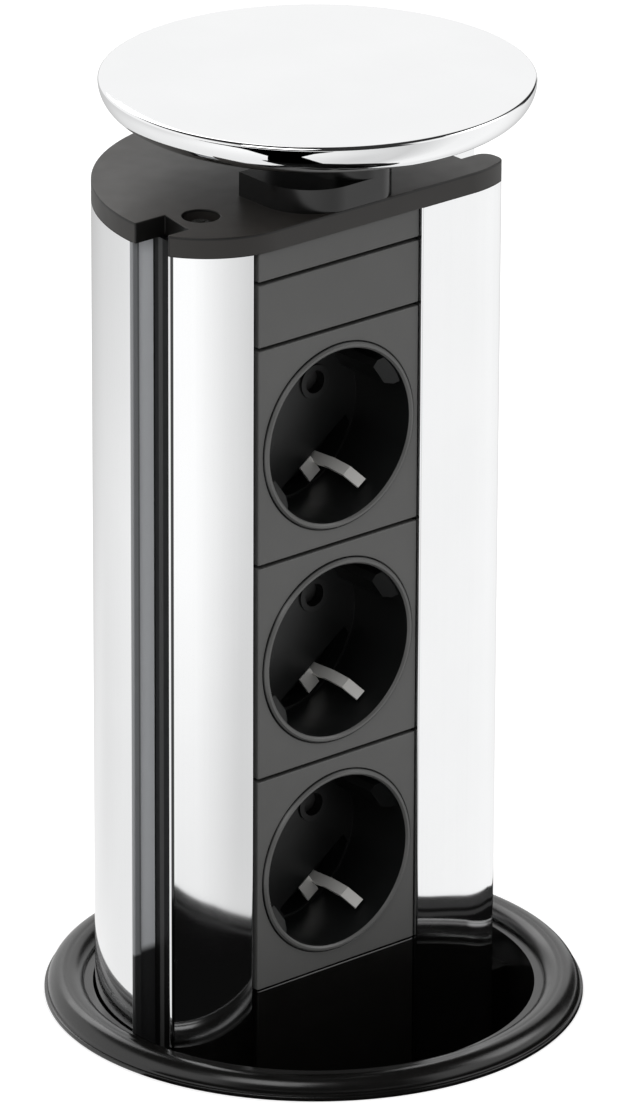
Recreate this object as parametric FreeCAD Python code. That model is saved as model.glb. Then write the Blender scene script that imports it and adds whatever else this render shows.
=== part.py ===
import FreeCAD, Part
import math
import os

from FreeCAD import Placement, Rotation, Vector

# Pull-up socket tower for a worktop, drawn raised.
# Millimetres, +Z up, origin on the tower's axis at the worktop's upper surface, sockets facing -Y.

# Tower section
tower_radius = 48.7
front_flat = 19.9
wing_radius = 24.0
wing_reach = 21.2
wing_arc = 80.0
wall = 2.2
slot_rear = 3.6
left_slot_front = -7.6
left_slot_depth = 6.7
right_slot_front = -11.2
right_slot_depth = 17.2
right_wing_setback = 10.2
tip_flat = 0.25
slot_lip = 1.4
slot_undercut = 0.7
edge_round = 0.4

# Heights above the worktop
tower_top = 187.0
module_pitch = 50.0
lowest_joint = 15.0
blank_height = 15.0
joint_gap = 0.8
fine_joint = 0.3

# Socket strip
strip_inset = 15.1
strip_width = 46.5
module_width = 45.0
strip_recess = 0.8
strip_side_gap = 0.2
cover_skin = 3.0
cover_skirt = 9.0
cover_round = 0.35
channel_depth = 11.0

# Socket well
well_radius = 19.75
well_depth = 17.5
well_turn = 35.0
mouth_round = 0.4
insert_rim_radius = 21.15
insert_rim_height = 0.7
insert_rim_slope = 0.5
insert_gap = 0.15
insert_wall = 1.25
insert_floor = 2.0
rib_width = 8.0
rib_chamfer = 1.3
rib_rise = 2.85
rib_start = 0.8
rib_ramp = 2.2
rib_root = 0.3
pin_spacing = 19.0
pin_hole_radius = 2.6
pin_collar_radius = 3.9
pin_collar_height = 0.5
pocket_start = 13.4
pocket_half_width = 11.2

# Shutter
shutter_thickness = 2.2
shutter_reach = 12.4
shutter_blade_angle = 40.0
shutter_hub_radius = 4.2
shutter_end_gap = 0.3
pivot_radius = 2.0
pivot_running_gap = 0.05
spring_wire = 0.6
spring_radius = 3.0
spring_pitch = 1.15
spring_turns = 3
spring_end_gap = 0.3

# Contacts and wiring
contact_radius = 3.6
contact_bore_radius = 2.5
contact_length = 10.0
contact_slit = 0.8
contact_tail_radius = 1.5
contact_pocket_gap = 0.2
base_gap = 0.2
base_depth = 11.4
clip_width = 2.6
clip_thickness = 0.8
clip_inset = 15.6
clip_bulge = 15.1
clip_front_depth = 4.8
clip_front_inset = 19.0
clip_foot_width = 3.6
clip_foot_start = 13.7
clip_strap_depth = 28.0
busbar_width = 5.0
busbar_thickness = 1.2
terminal_height = 18.0
terminal_depth = 14.0
terminal_width = 26.0
terminal_slot_depth = 4.0
terminal_gap = 0.1
terminal_screw_inset = 3.4
terminal_screw_radius = 2.0
terminal_wire_radius = 1.9
terminal_wire_height = 7.0

# Top plate, neck and lid
plate_thickness = 4.7
notch_inset = 1.15
notch_flare = 1.6
notch_flare_length = 8.2
left_screw_inset = 7.1
left_screw_y = -2.9
right_screw_inset = 5.0
right_screw_y = -3.6
rear_screw_x = 2.0
rear_screw_inset = 5.4
recess_radius = 4.15
recess_depth = 3.4
screw_head_radius = 2.9
screw_head_height = 1.9
screw_radius = 1.5
screw_length = 14.0
screw_port_radius = 3.4
neck_radius = 11.0
neck_block_left = -9.5
neck_block_right = 7.0
neck_block_left_round = 9.0
neck_right_round = 5.5
neck_foot_left = -20.6
neck_foot_rear = 1.6
neck_foot_left_round = 12.0
neck_foot_height = 5.4
neck_height = 18.3
neck_block_drop = 3.6
neck_screw_x = 8.0
lid_setback = 1.5
lid_seat_depth = 5.0
lid_dome = 1.6
lid_rim_round = 0.4
lid_side_height = 7.5
lid_side_inset = 6.5
lid_skin = 1.5
lid_return_width = 10.2
lid_core_gap = 0.1
lid_core_floor = 3.2

# Flange and guide
ring_width = 8.8
ring_ledge = 2.0
ring_step_height = 1.0
ring_step = 0.7
ring_crest_inset = 5.0
ring_crest = 4.6
ring_lip = 2.7
ring_seat = 2.05
seal_inset = 1.4
seal_width = 4.4
seal_height = 0.8
sleeve_gap = 0.5
sleeve_wall = 1.4
collar_width = 7.6
collar_gap = 0.2
sleeve_collar = 1.2
sleeve_length = 98.0
key_gap = 0.4
key_top_drop = 5.2
key_end_gap = 4.8
key_reach = 6.6
key_screw_inset = 18.0
key_screw_radius = 1.5
key_screw_length = 6.0
key_screw_head_radius = 2.6
pad_angles = [60.0, 120.0]
pad_width = 12.0
pad_height = 30.0
pad_end_gap = 8.0
pad_gap = 0.3
pad_fit = 0.1

# Clamping below a 38 mm worktop
worktop_thickness = 38.0
thread_gap = 0.3
washer_width = 15.1
washer_thickness = 2.0
nut_width = 9.1
nut_height = 14.0
nut_grips = 12
nut_grip_radius = 3.0

# Tower foot
stop_gap = 0.3
cap_setback = 0.3
cap_thickness = 4.0
cap_round = 1.0
gland_y = 21.0
gland_side_gap = 1.0
gland_bore_radius = 5.0
gland_thread_radius = 8.0
gland_hex = 20.0
gland_flange_height = 4.0
gland_nut_height = 14.0
gland_nut_nose_radius = 7.5
locknut_height = 4.0
gland_thread_gap = 0.1

# Heights and depths that follow from the values above
front_face = -(front_flat - strip_recess)
tower_bottom = -(sleeve_length + stop_gap)
plate_top = tower_top + plate_thickness
wing_start = tower_radius - wing_reach
left_slot_floor = -(tower_radius - left_slot_depth)
notch_rear = slot_rear - notch_inset
right_slot_floor = tower_radius - right_slot_depth
right_tip = tower_radius - right_wing_setback
strip_left = -(tower_radius - strip_inset)
strip_right = strip_left + strip_width
module_right = strip_right - strip_side_gap
module_left = module_right - module_width
strip_middle = (module_left + module_right) / 2
rib_reach = well_radius - rib_rise
plate_screws = [
    (left_slot_floor + left_screw_inset, left_screw_y),
    (right_slot_floor - right_screw_inset, right_screw_y),
    (rear_screw_x, tower_radius - rear_screw_inset),
]
lid_radius = tower_radius - lid_setback
lid_return_radius = lid_radius - lid_return_width
sleeve_bore_radius = tower_radius + sleeve_gap
sleeve_radius = sleeve_bore_radius + sleeve_wall
sleeve_collar_radius = sleeve_bore_radius + collar_width
ring_opening = sleeve_bore_radius + ring_ledge
ring_radius = ring_opening + ring_width
ring_crest_radius = ring_radius - ring_crest_inset
ring_skirt_radius = sleeve_collar_radius + collar_gap
seal_inner_radius = sleeve_radius + seal_inset
seal_outer_radius = seal_inner_radius + seal_width
key_top = -key_top_drop
key_bottom = -(sleeve_length - key_end_gap)
key_screw_heights = [key_top - key_screw_inset, key_bottom + key_screw_inset]
pad_bottom = -(sleeve_length - pad_end_gap)
washer_radius = sleeve_radius + thread_gap + washer_width
nut_radius = sleeve_radius + thread_gap + nut_width
cap_radius = sleeve_radius - cap_setback
gland_x = strip_middle + terminal_width / 2 + gland_side_gap + gland_hex / math.sqrt(3)
gland_place = (gland_x, gland_y)
module_bottoms = [lowest_joint + module_pitch * place for place in (2, 1, 0)]
well_heights = [bottom + module_pitch / 2 for bottom in module_bottoms]
blank_bottom = lowest_joint + module_pitch * 3
filler_bottom = blank_bottom + blank_height
base_front = well_depth + insert_floor + shutter_thickness + 2 * shutter_end_gap
base_back = base_front + base_depth
busbar_front = front_face + base_back + 0.2
spring_start = base_front + spring_wire / 2
spring_recess_floor = spring_start + spring_pitch * spring_turns + spring_wire / 2 + spring_end_gap
neck_top = plate_top + neck_height
lid_rim = neck_top + lid_seat_depth
lid_underside = lid_rim - lid_side_height


def box(x0, x1, y0, y1, z0, z1):
    """Upright block between two corners."""
    return Part.makeBox(x1 - x0, y1 - y0, z1 - z0, Vector(x0, y0, z0))


def rod(radius, x, y, z0, z1):
    """Upright round bar."""
    return Part.makeCylinder(radius, z1 - z0, Vector(x, y, z0))


def depth_rod(radius, x, z, y0, y1):
    """Round bar along +Y."""
    return Part.makeCylinder(radius, y1 - y0, Vector(x, y0, z), Vector(0, 1, 0))


def tube(inner, outer, z0, z1):
    """Upright tube about the tower's axis."""
    return rod(outer, 0, 0, z0, z1).cut(rod(inner, 0, 0, z0 - 1, z1 + 1))


def section(start, *steps):
    """Closed wire from a start point; a step of two points is an arc through the first of them."""
    edges = []
    here = start
    for step in steps:
        if isinstance(step, tuple):
            edges.append(Part.Arc(here, step[0], step[1]).toShape())
            here = step[1]
        else:
            edges.append(Part.makeLine(here, step))
            here = step
    if here.distanceToPoint(start) > 1e-6:
        edges.append(Part.makeLine(here, start))
    return Part.Wire(edges)


def turned(start, *steps):
    """Body turned about the tower's axis from a section of radius and height."""
    flat = Part.Face(section(start, *steps))
    return flat.revolve(Vector(0, 0, 0), Vector(0, 0, 1), 360)


def at(radius, height):
    """Point of a turned section."""
    return Vector(radius, 0, height)


def upright_edges(shape, points, reach=0.6):
    """Vertical edges of a shape that stand within reach of the given (x, y) points."""
    found = []
    for edge in shape.Edges:
        ends = [vertex.Point for vertex in edge.Vertexes]
        if len(ends) != 2 or abs(ends[0].z - ends[1].z) < 1:
            continue
        if math.hypot(ends[0].x - ends[1].x, ends[0].y - ends[1].y) > 0.01:
            continue
        if any(math.hypot(ends[0].x - x, ends[0].y - y) < reach for x, y in points):
            found.append(edge)
    return found


def front_edges(shape, y):
    """Edges that lie wholly in the plane of the given y."""
    return [edge for edge in shape.Edges
            if abs(edge.BoundBox.YMin - y) < 1e-4 and abs(edge.BoundBox.YMax - y) < 1e-4]


def export(name, shape):
    """Write one sub-part."""
    if shape.ShapeType == "Compound" and len(shape.Solids) == 1:
        shape = shape.Solids[0]
    shape.exportStep("parts/" + name + ".step")


def joined(shapes):
    """One solid from overlapping shapes."""
    result = shapes[0].fuse(shapes[1:])
    return result.removeSplitter()


# Tower section: a round back, a flat front with broadly rounded wings, and a slot in each side

def rounded_front(inset, z0, z1):
    """Upright body of the round and flat outline, set in by a wall."""
    radius = tower_radius - inset
    front = -(front_flat - inset)
    bend = wing_radius - inset
    reach = math.radians(wing_arc)
    side_x = wing_start + bend * math.sin(reach)
    side_y = front + bend * (1 - math.cos(reach))
    middle_x = wing_start + bend * math.sin(reach / 2)
    middle_y = front + bend * (1 - math.cos(reach / 2))
    back = 2 * tower_radius
    wire = section(
        Vector(-wing_start, front, z0),
        Vector(wing_start, front, z0),
        (Vector(middle_x, middle_y, z0), Vector(side_x, side_y, z0)),
        Vector(side_x, back, z0),
        Vector(-side_x, back, z0),
        Vector(-side_x, side_y, z0),
        (Vector(-middle_x, middle_y, z0), Vector(-wing_start, front, z0)),
    )
    front_body = Part.Face(wire).extrude(Vector(0, 0, z1 - z0))
    return front_body.common(rod(radius, 0, 0, z0, z1))


def wing_y(x):
    """Front of the right wing at a given x."""
    along = x - wing_start
    return -front_flat + wing_radius - math.sqrt(wing_radius ** 2 - along ** 2)


def left_slot(grow, z0, z1, rear=slot_rear):
    """Left side slot, grown all round by a wall thickness."""
    floor = left_slot_floor + grow
    mouth = box(-tower_radius - 1, floor, left_slot_front - grow, rear + grow, z0, z1)
    if grow:
        return mouth.fuse(left_undercut(grow, z0, z1))
    return mouth


def left_undercut(grow, z0, z1):
    """Wider inside of the left slot, behind its two lips."""
    inside = -math.sqrt(tower_radius ** 2 - left_slot_front ** 2) + slot_lip
    return box(inside - grow, left_slot_floor + grow, left_slot_front - slot_undercut - grow,
               slot_rear + slot_undercut + grow, z0, z1)


def right_slot(grow, z0, z1, rear=slot_rear):
    """Deep right side slot, grown all round by a wall thickness."""
    return box(right_slot_floor - grow, tower_radius + 1, right_slot_front - grow,
               rear + grow, z0, z1)


def beyond_tip(grow, z0, z1):
    """Space beside the right wing's tip, grown by a wall thickness."""
    return box(right_tip - grow, tower_radius + 1, -tower_radius, right_slot_front, z0, z1)


def tower_outline(z0, z1, rear=slot_rear):
    """Solid of the tower's full outline, slots cut as far as a rear wall and edges eased."""
    body = rounded_front(0, z0, z1)
    body = body.cut(left_slot(0, z0 - 1, z1 + 1, rear))
    body = body.cut(right_slot(0, z0 - 1, z1 + 1, rear))
    body = body.cut(beyond_tip(0, z0 - 1, z1 + 1)).removeSplitter()
    tip_thickness = right_slot_front - wing_y(right_tip)
    tip = upright_edges(body, [(right_tip, right_slot_front), (right_tip, wing_y(right_tip))])
    body = body.makeFillet((tip_thickness - tip_flat) / 2, tip)
    rear_x = math.sqrt(tower_radius ** 2 - rear ** 2)
    front_x = math.sqrt(tower_radius ** 2 - left_slot_front ** 2)
    corners = upright_edges(body, [(-rear_x, rear), (rear_x, rear),
                                   (-front_x, left_slot_front)])
    return body.makeFillet(edge_round, corners)


def screw_ports(radius, z0, z1):
    """One round bar at each screw of the top plate."""
    return [rod(radius, x, y, z0, z1) for x, y in plate_screws]


def port_webs(z0, z1):
    """Webs that tie the left and the rear screw port to the wall beside them."""
    left_x, left_y = plate_screws[0]
    rear_x, rear_y = plate_screws[2]
    return [
        box(left_slot_floor, left_x, left_y - wall / 2, left_y + wall / 2, z0, z1),
        box(rear_x - wall / 2, rear_x + wall / 2, rear_y, tower_radius, z0, z1),
    ]


def tower_profile():
    """Extruded column: thin walls, screw ports, side slots and an open channel for the sockets."""
    z0 = tower_bottom
    z1 = tower_top
    body = tower_outline(z0, z1)
    body = body.cut(left_undercut(0, z0 - 1, z1 + 1))
    hollow = rounded_front(wall, z0 - 1, z1 + 1)
    hollow = hollow.cut(left_slot(wall, z0 - 2, z1 + 2))
    hollow = hollow.cut(right_slot(wall, z0 - 2, z1 + 2))
    hollow = hollow.cut(beyond_tip(wall, z0 - 2, z1 + 2))
    hollow = hollow.cut(screw_ports(screw_port_radius, z0 - 2, z1 + 2))
    hollow = hollow.cut(port_webs(z0 - 2, z1 + 2))
    channel_back = -front_flat + channel_depth
    for x in (strip_left - wall, strip_right):
        hollow = hollow.cut(box(x, x + wall, -front_flat, channel_back, z0 - 2, z1 + 2))
    body = body.cut(hollow)
    channel = box(strip_left, strip_right, -front_flat - 1, channel_back, z0 - 1, z1 + 1)
    body = body.cut(channel)
    body = body.cut(screw_ports(screw_radius, z0 - 1, z1 + 1)).removeSplitter()
    lips = upright_edges(body, [(strip_left, -front_flat), (strip_right, -front_flat)])
    return body.makeFillet(edge_round, lips)


def notch_corner(z0, z1):
    """Wedge that deepens the top plate's left notch towards the rear."""
    corners = [Vector(left_slot_floor, notch_rear, z0),
               Vector(left_slot_floor + notch_flare, notch_rear, z0),
               Vector(left_slot_floor, notch_rear - notch_flare_length, z0)]
    wire = Part.makePolygon(corners + [corners[0]])
    return Part.Face(wire).extrude(Vector(0, 0, z1 - z0))


def top_plate():
    """Moulded cover of the column's upper end, with sunk screw seats."""
    plate = tower_outline(tower_top, plate_top, notch_rear)
    plate = plate.cut(notch_corner(tower_top - 1, plate_top + 1))
    plate = plate.cut(screw_ports(recess_radius, plate_top - recess_depth, plate_top + 1))
    plate = plate.cut(screw_ports(screw_radius + 0.2, tower_top - 1, plate_top + 1))
    for x in (-neck_screw_x, neck_screw_x):
        plate = plate.cut(rod(screw_radius + 0.2, x, 0, tower_top - 1, plate_top + 1))
        plate = plate.cut(rod(screw_head_radius + 0.3, x, 0, tower_top - 1,
                              tower_top + screw_head_height + 0.1))
    return plate


def pan_screw(x, y, head_z, length, up=False):
    """Pan-head screw with a cross recess; its head seats at head_z."""
    head = Part.makeCone(screw_head_radius, screw_head_radius * 0.75, screw_head_height)
    shank = Part.makeCylinder(screw_radius - 0.02, length, Vector(0, 0, -length))
    recess_width = 0.7
    arm = screw_head_radius * 0.6
    cross_depth = screw_head_height * 0.55
    top = screw_head_height
    cross = [
        box(-arm, arm, -recess_width / 2, recess_width / 2, top - cross_depth, top + 1),
        box(-recess_width / 2, recess_width / 2, -arm, arm, top - cross_depth, top + 1),
    ]
    screw = head.fuse(shank).cut(cross)
    if up:
        screw.rotate(Vector(0, 0, 0), Vector(1, 0, 0), 180)
    screw.translate(Vector(x, y, head_z))
    return screw


def top_plate_screws():
    """Screws of the top plate, down into the column's ports."""
    seat = plate_top - recess_depth
    return Part.makeCompound([pan_screw(x, y, seat, screw_length) for x, y in plate_screws])


# Neck and lid

def round_cornered(left, rear, height, left_round):
    """Block from the plate's front edge back, its two front corners rounded."""
    block = box(left, neck_block_right, -front_flat, rear, plate_top, plate_top + height)
    block = block.makeFillet(left_round, upright_edges(block, [(left, -front_flat)]))
    return block.makeFillet(neck_right_round,
                            upright_edges(block, [(neck_block_right, -front_flat)]))


def neck():
    """Post between the top plate and the lid: a round hub with a block brought to the front."""
    hub = rod(neck_radius, 0, 0, plate_top, neck_top)
    block = round_cornered(neck_block_left, 0, neck_height - neck_block_drop,
                           neck_block_left_round)
    foot = round_cornered(neck_foot_left, neck_foot_rear, neck_foot_height, neck_foot_left_round)
    body = joined([hub, block, foot])
    for x in (-neck_screw_x, neck_screw_x):
        body = body.cut(rod(screw_radius + 0.2, x, 0, plate_top - 1, neck_top + 1))
    return body


def neck_screws():
    """Two long screws from below the top plate, through the neck and into the lid's core."""
    length = neck_top + lid_core_floor - 0.4 - tower_top - screw_head_height
    seat = tower_top + screw_head_height
    return Part.makeCompound([pan_screw(x, 0, seat, length, True)
                              for x in (-neck_screw_x, neck_screw_x)])


def lid_side(inset):
    """Start, middle and end of the lid's rounded side in section, set in by a skin."""
    across = lid_side_inset - inset * 0.5
    down = lid_side_height - inset
    centre = at(lid_radius - lid_side_inset, lid_rim)
    start = at(centre.x + across, lid_rim)
    half = math.sqrt(0.5)
    middle = at(centre.x + across * half, lid_rim - down * half)
    end = at(centre.x, lid_rim - down)
    return start, middle, end


def dome(edge, top):
    """Middle point of a dome's arc, whose centre is on the axis, from its edge to its top."""
    rise = top - edge.z
    sphere = (edge.x ** 2 + rise ** 2) / (2 * rise)
    half_way = edge.x / 2
    return at(half_way, top - sphere + math.sqrt(sphere ** 2 - half_way ** 2))


def lid_cap():
    """Chromed cover: a low dome, a tight rim, a rounded side and a rolled return below."""
    start, middle, end = lid_side(0)
    inner_start, inner_middle, inner_end = lid_side(lid_skin)
    top = lid_rim + lid_dome
    edge = at(lid_radius - lid_rim_round, lid_rim)
    inner_edge = at(inner_start.x, lid_rim - lid_skin)
    bend = lid_rim_round * (1 - math.sqrt(0.5))
    return turned(
        at(0, top),
        (dome(edge, top), edge),
        (at(lid_radius - bend, lid_rim - bend), at(lid_radius, lid_rim - lid_rim_round)),
        (middle, end),
        at(lid_return_radius, lid_underside),
        at(lid_return_radius, lid_underside + lid_skin),
        inner_end,
        (inner_middle, inner_edge),
        (dome(inner_edge, top - lid_skin), at(0, top - lid_skin)),
    )


def lid_core():
    """Moulded disc inside the lid's return, with a seat for the neck and a screw boss each side."""
    top = lid_rim + lid_dome - lid_skin - 0.4
    outer = lid_return_radius - lid_core_gap
    seat = neck_top
    rib_height = 2.0
    disc = turned(
        at(0, seat),
        at(neck_radius + 0.15, seat),
        at(neck_radius + 0.15, lid_underside + 0.3),
        at(outer, lid_underside + 0.3),
        at(outer, lid_underside + 0.3 + rib_height),
        at(neck_radius + 2.2, lid_underside + 0.3 + rib_height),
        at(neck_radius + 2.2, seat + lid_core_floor - 0.6),
        at(0, seat + lid_core_floor - 0.6),
    )
    pieces = [disc]
    for turn in range(8):
        rib = box(neck_radius + 1.5, outer - 1.0, -0.8, 0.8, lid_underside + 0.3,
                  lid_rim - lid_skin - 0.6)
        rib.rotate(Vector(0, 0, 0), Vector(0, 0, 1), turn * 45.0)
        pieces.append(rib)
    for x in (-neck_screw_x, neck_screw_x):
        pieces.append(rod(screw_radius + 1.6, x, 0, seat, top - 0.1))
    body = joined(pieces)
    for x in (-neck_screw_x, neck_screw_x):
        body = body.cut(rod(screw_radius, x, 0, seat - 1, neck_top + lid_core_floor))
    return body


# Socket strip

def strip_cover(z0, z1):
    """Flat front cover with a skirt down each side, open behind."""
    front = box(module_left, module_right, front_face, front_face + cover_skirt, z0, z1)
    inside = box(module_left + cover_skin, module_right - cover_skin, front_face + cover_skin,
                 front_face + cover_skirt + 1, z0 - 1, z1 + 1)
    body = front.cut(inside)
    return body.makeFillet(cover_round, front_edges(body, front_face))


def socket_frame(bottom, lower_gap):
    """Square front of one socket with a round opening for its insert."""
    body = strip_cover(bottom + lower_gap, bottom + module_pitch - joint_gap / 2)
    opening = depth_rod(insert_rim_radius + insert_gap, strip_middle,
                        bottom + module_pitch / 2, front_face - 1, front_face + cover_skirt + 1)
    return body.cut(opening)


def turned_along_depth(points):
    """Body turned about +Y from (radius, depth) points."""
    corners = [Vector(radius, depth, 0) for radius, depth in points]
    wire = Part.makePolygon(corners + [corners[0]])
    return Part.Face(wire).revolve(Vector(0, 0, 0), Vector(0, 1, 0), 360)


def well_box(tau0, tau1, depth0, depth1, rho0, rho1):
    """Block in the well's own frame: along the pin line, in depth, and towards the lower clip."""
    return box(tau0, tau1, depth0, depth1, -rho1, -rho0)


def guide_rib(side):
    """Chamfered rib on the well's wall, whose front end ramps down to the wall."""
    near = side * rib_reach
    far = side * (well_radius + rib_root)
    back = well_depth + 0.5
    low = -rib_width / 2
    front = rib_start - rib_root * rib_ramp / rib_rise
    corners = [Vector(far, front, low), Vector(near, rib_start + rib_ramp, low),
               Vector(near, back, low), Vector(far, back, low)]
    wire = Part.makePolygon(corners + [corners[0]])
    rib = Part.Face(wire).extrude(Vector(0, 0, rib_width))
    inner = [edge for edge in rib.Edges
             if max(abs(vertex.X - near) for vertex in edge.Vertexes) < 1e-4
             and edge.BoundBox.YLength > 1]
    return rib.makeChamfer(rib_chamfer, inner)


def pin_places():
    """The two pins on the well's pin line."""
    return (-pin_spacing / 2, pin_spacing / 2)


def socket_insert():
    """Round well with two guide ribs, pin holes in raised collars and a pocket for each clip."""
    outer = well_radius + insert_wall
    back = base_back
    floor_back = well_depth + insert_floor
    body = turned_along_depth([
        (well_radius + mouth_round, -insert_rim_height),
        (insert_rim_radius - insert_rim_slope, -insert_rim_height),
        (insert_rim_radius, 0), (insert_rim_radius, 1.6),
        (outer, 1.6), (outer, back), (outer - insert_wall - 0.5, back),
        (outer - insert_wall - 0.5, floor_back), (0, floor_back), (0, well_depth),
        (well_radius, well_depth), (well_radius, mouth_round - insert_rim_height),
    ])
    pieces = [body]
    ring = depth_rod(well_radius + rib_root + 0.2, 0, 0, 0, well_depth + 0.5)
    for side in (-1, 1):
        pieces.append(guide_rib(side).common(ring))
    for tau in pin_places():
        pieces.append(depth_rod(pin_collar_radius, tau, 0, well_depth - pin_collar_height,
                                well_depth + 0.5))
    pieces.append(depth_rod(pivot_radius, 0, 0, well_depth + 0.5, base_front + 4.0))
    body = joined(pieces)
    pocket_edge = depth_rod(well_radius - 0.45, 0, 0, well_depth - 0.2, floor_back + 1)
    for side in (-1, 1):
        near = side * pocket_start
        far = side * well_radius
        pocket = well_box(-pocket_half_width, pocket_half_width, well_depth - 0.2,
                          floor_back + 1, min(near, far), max(near, far))
        body = body.cut(pocket.common(pocket_edge))
    for tau in pin_places():
        body = body.cut(depth_rod(pin_hole_radius, tau, 0, well_depth - 2, floor_back + 1))
    return body


def shutter():
    """Two blades on a hub, which close the pin holes until both pins turn them aside."""
    front = well_depth + insert_floor + shutter_end_gap
    back = front + shutter_thickness
    half = math.radians(shutter_blade_angle / 2)
    reach = shutter_reach
    pieces = [depth_rod(shutter_hub_radius, 0, 0, front, back)]
    for side in (-1, 1):
        wire = section(
            Vector(0, front, 0),
            Vector(side * reach * math.cos(half), front, reach * math.sin(half)),
            (Vector(side * reach, front, 0),
             Vector(side * reach * math.cos(half), front, -reach * math.sin(half))),
        )
        pieces.append(Part.Face(wire).extrude(Vector(0, shutter_thickness, 0)))
    body = joined(pieces)
    return body.cut(depth_rod(pivot_radius + pivot_running_gap, 0, 0, front - 1, back + 1))


def coil_point(turn):
    """Place on the spring's helix after a number of turns."""
    angle = 2 * math.pi * turn
    return Vector(spring_radius * math.cos(angle), spring_start + spring_pitch * turn,
                  spring_radius * math.sin(angle))


def coil_heading(turn):
    """Direction of the wire after a number of turns."""
    angle = 2 * math.pi * turn
    around = 2 * math.pi * spring_radius
    heading = Vector(-around * math.sin(angle), spring_pitch, around * math.cos(angle))
    return heading.normalize()


def arc_between(start, corner, end):
    """Arc from start to end whose tangents meet in the corner."""
    share = (end - start).Length / (2 * (corner - start).Length)
    middle = (start + corner * (2 * share) + end) * (1 / (2 + 2 * share))
    return Part.Arc(start, middle, end).toShape()


def quarter_turn(turn):
    """Two arcs that follow a quarter turn of the helix and meet it at both ends."""
    start = coil_point(turn)
    end = coil_point(turn + 0.25)
    leaving = coil_heading(turn)
    arriving = coil_heading(turn + 0.25)
    across = end - start
    a = 2 * (1 - leaving.dot(arriving))
    b = 2 * across.dot(leaving + arriving)
    reach = (-b + math.sqrt(b * b + 4 * a * across.dot(across))) / (2 * a)
    first = start + leaving * reach
    second = end - arriving * reach
    joint = (first + second) * 0.5
    return [arc_between(start, first, joint), arc_between(joint, second, end)]


def coil_gap():
    """Least gap between neighbouring turns, measured on points along the wire."""
    steps = 48
    points = [coil_point(step / steps) for step in range(spring_turns * steps + 1)]
    least = min((points[j] - points[i]).Length
                for i in range(len(points)) for j in range(i + steps // 2, len(points)))
    return least - spring_wire


def shutter_spring():
    """Light coil around the shutter's pivot, in the recess of the base."""
    arcs = []
    for quarter in range(spring_turns * 4):
        arcs += quarter_turn(quarter / 4)
    circle = Part.Circle(coil_point(0), coil_heading(0), spring_wire / 2)
    return Part.Wire(arcs).makePipeShell([Part.Wire(circle.toShape())], True, False)


def socket_base():
    """Rear block that holds the contacts, pushed into the insert's skirt."""
    outer = well_radius - 0.5 - base_gap
    body = depth_rod(outer, 0, 0, base_front, base_back)
    spring_recess = depth_rod(spring_radius + spring_wire + 0.5, 0, 0, base_front - 1,
                              spring_recess_floor)
    body = body.cut(spring_recess)
    half_width = clip_width / 2 + 0.3
    half_span = clip_inset + clip_thickness / 2 + 0.3
    inner_span = clip_inset - clip_thickness / 2 - 0.3
    for side in (-1, 1):
        near = side * inner_span
        far = side * half_span
        body = body.cut(well_box(-half_width - 0.3, half_width + 0.3, base_front - 1, base_back + 1,
                                 min(near, far), max(near, far)))
    body = body.cut(well_box(-half_width, half_width, clip_strap_depth - 0.1, base_back + 1,
                             -half_span, half_span))
    for tau in pin_places():
        pocket_end = base_front + 0.4 + contact_length
        body = body.cut(depth_rod(contact_radius + contact_pocket_gap, tau, 0, base_front - 1,
                                  pocket_end))
        body = body.cut(depth_rod(contact_tail_radius + 0.2, tau, 0, base_front, base_back + 1))
    return body


def pin_contacts():
    """Slit tubes that grip the plug's pins, each with a tail to its busbar."""
    front = base_front + 0.4
    back = front + contact_length
    contacts = []
    for tau in pin_places():
        body = depth_rod(contact_radius, tau, 0, front, back)
        body = body.cut(depth_rod(contact_bore_radius, tau, 0, front - 1, back - 1.2))
        body = body.cut(box(tau - contact_slit / 2, tau + contact_slit / 2, front - 1, back - 2.5,
                            0, contact_radius + 1))
        tail = depth_rod(contact_tail_radius, tau, 0, back - 0.5, busbar_front - front_face)
        contacts.append(joined([body, tail]))
    return Part.makeCompound(contacts)


def earth_arm():
    """One sprung arm: up from the strap, bowed towards the plug, then out to the wall."""
    half = clip_thickness / 2
    path = [
        (clip_inset, clip_strap_depth + clip_thickness), (clip_inset, well_depth),
        (clip_bulge, well_depth - 5.0), (clip_inset + 0.2, clip_front_depth + 3.0),
        (clip_front_inset - 0.3, clip_front_depth),
    ]
    left = []
    right = []
    for place, (rho, depth) in enumerate(path):
        before = path[max(place - 1, 0)]
        after = path[min(place + 1, len(path) - 1)]
        run_rho = after[0] - before[0]
        run_depth = after[1] - before[1]
        length = math.hypot(run_rho, run_depth)
        side_rho = -run_depth / length * half
        side_depth = run_rho / length * half
        left.append(Vector(-clip_width / 2, depth + side_depth, -(rho + side_rho)))
        right.append(Vector(-clip_width / 2, depth - side_depth, -(rho - side_rho)))
    ring = left + right[::-1]
    arm = Part.Face(Part.makePolygon(ring + [ring[0]])).extrude(Vector(clip_width, 0, 0))
    foot = well_box(-clip_width / 2 - clip_foot_width + 0.3, -clip_width / 2 + 0.3,
                    well_depth + 0.1, well_depth + 0.1 + clip_thickness,
                    clip_foot_start, clip_inset + 2.9)
    return arm.fuse(foot)


def earth_contact():
    """Strap with two sprung arms, one on each side of the well, and a tail to the earth bar."""
    lower = earth_arm()
    upper = lower.copy()
    upper.rotate(Vector(0, 0, 0), Vector(0, 1, 0), 180)
    span = clip_inset + clip_thickness / 2
    strap = well_box(-clip_width / 2, clip_width / 2, clip_strap_depth,
                     clip_strap_depth + clip_thickness, -span, span)
    tail = depth_rod(clip_width / 2, 0, 0, clip_strap_depth + 0.2, busbar_front - front_face)
    return joined([strap, lower, upper, tail])


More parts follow.
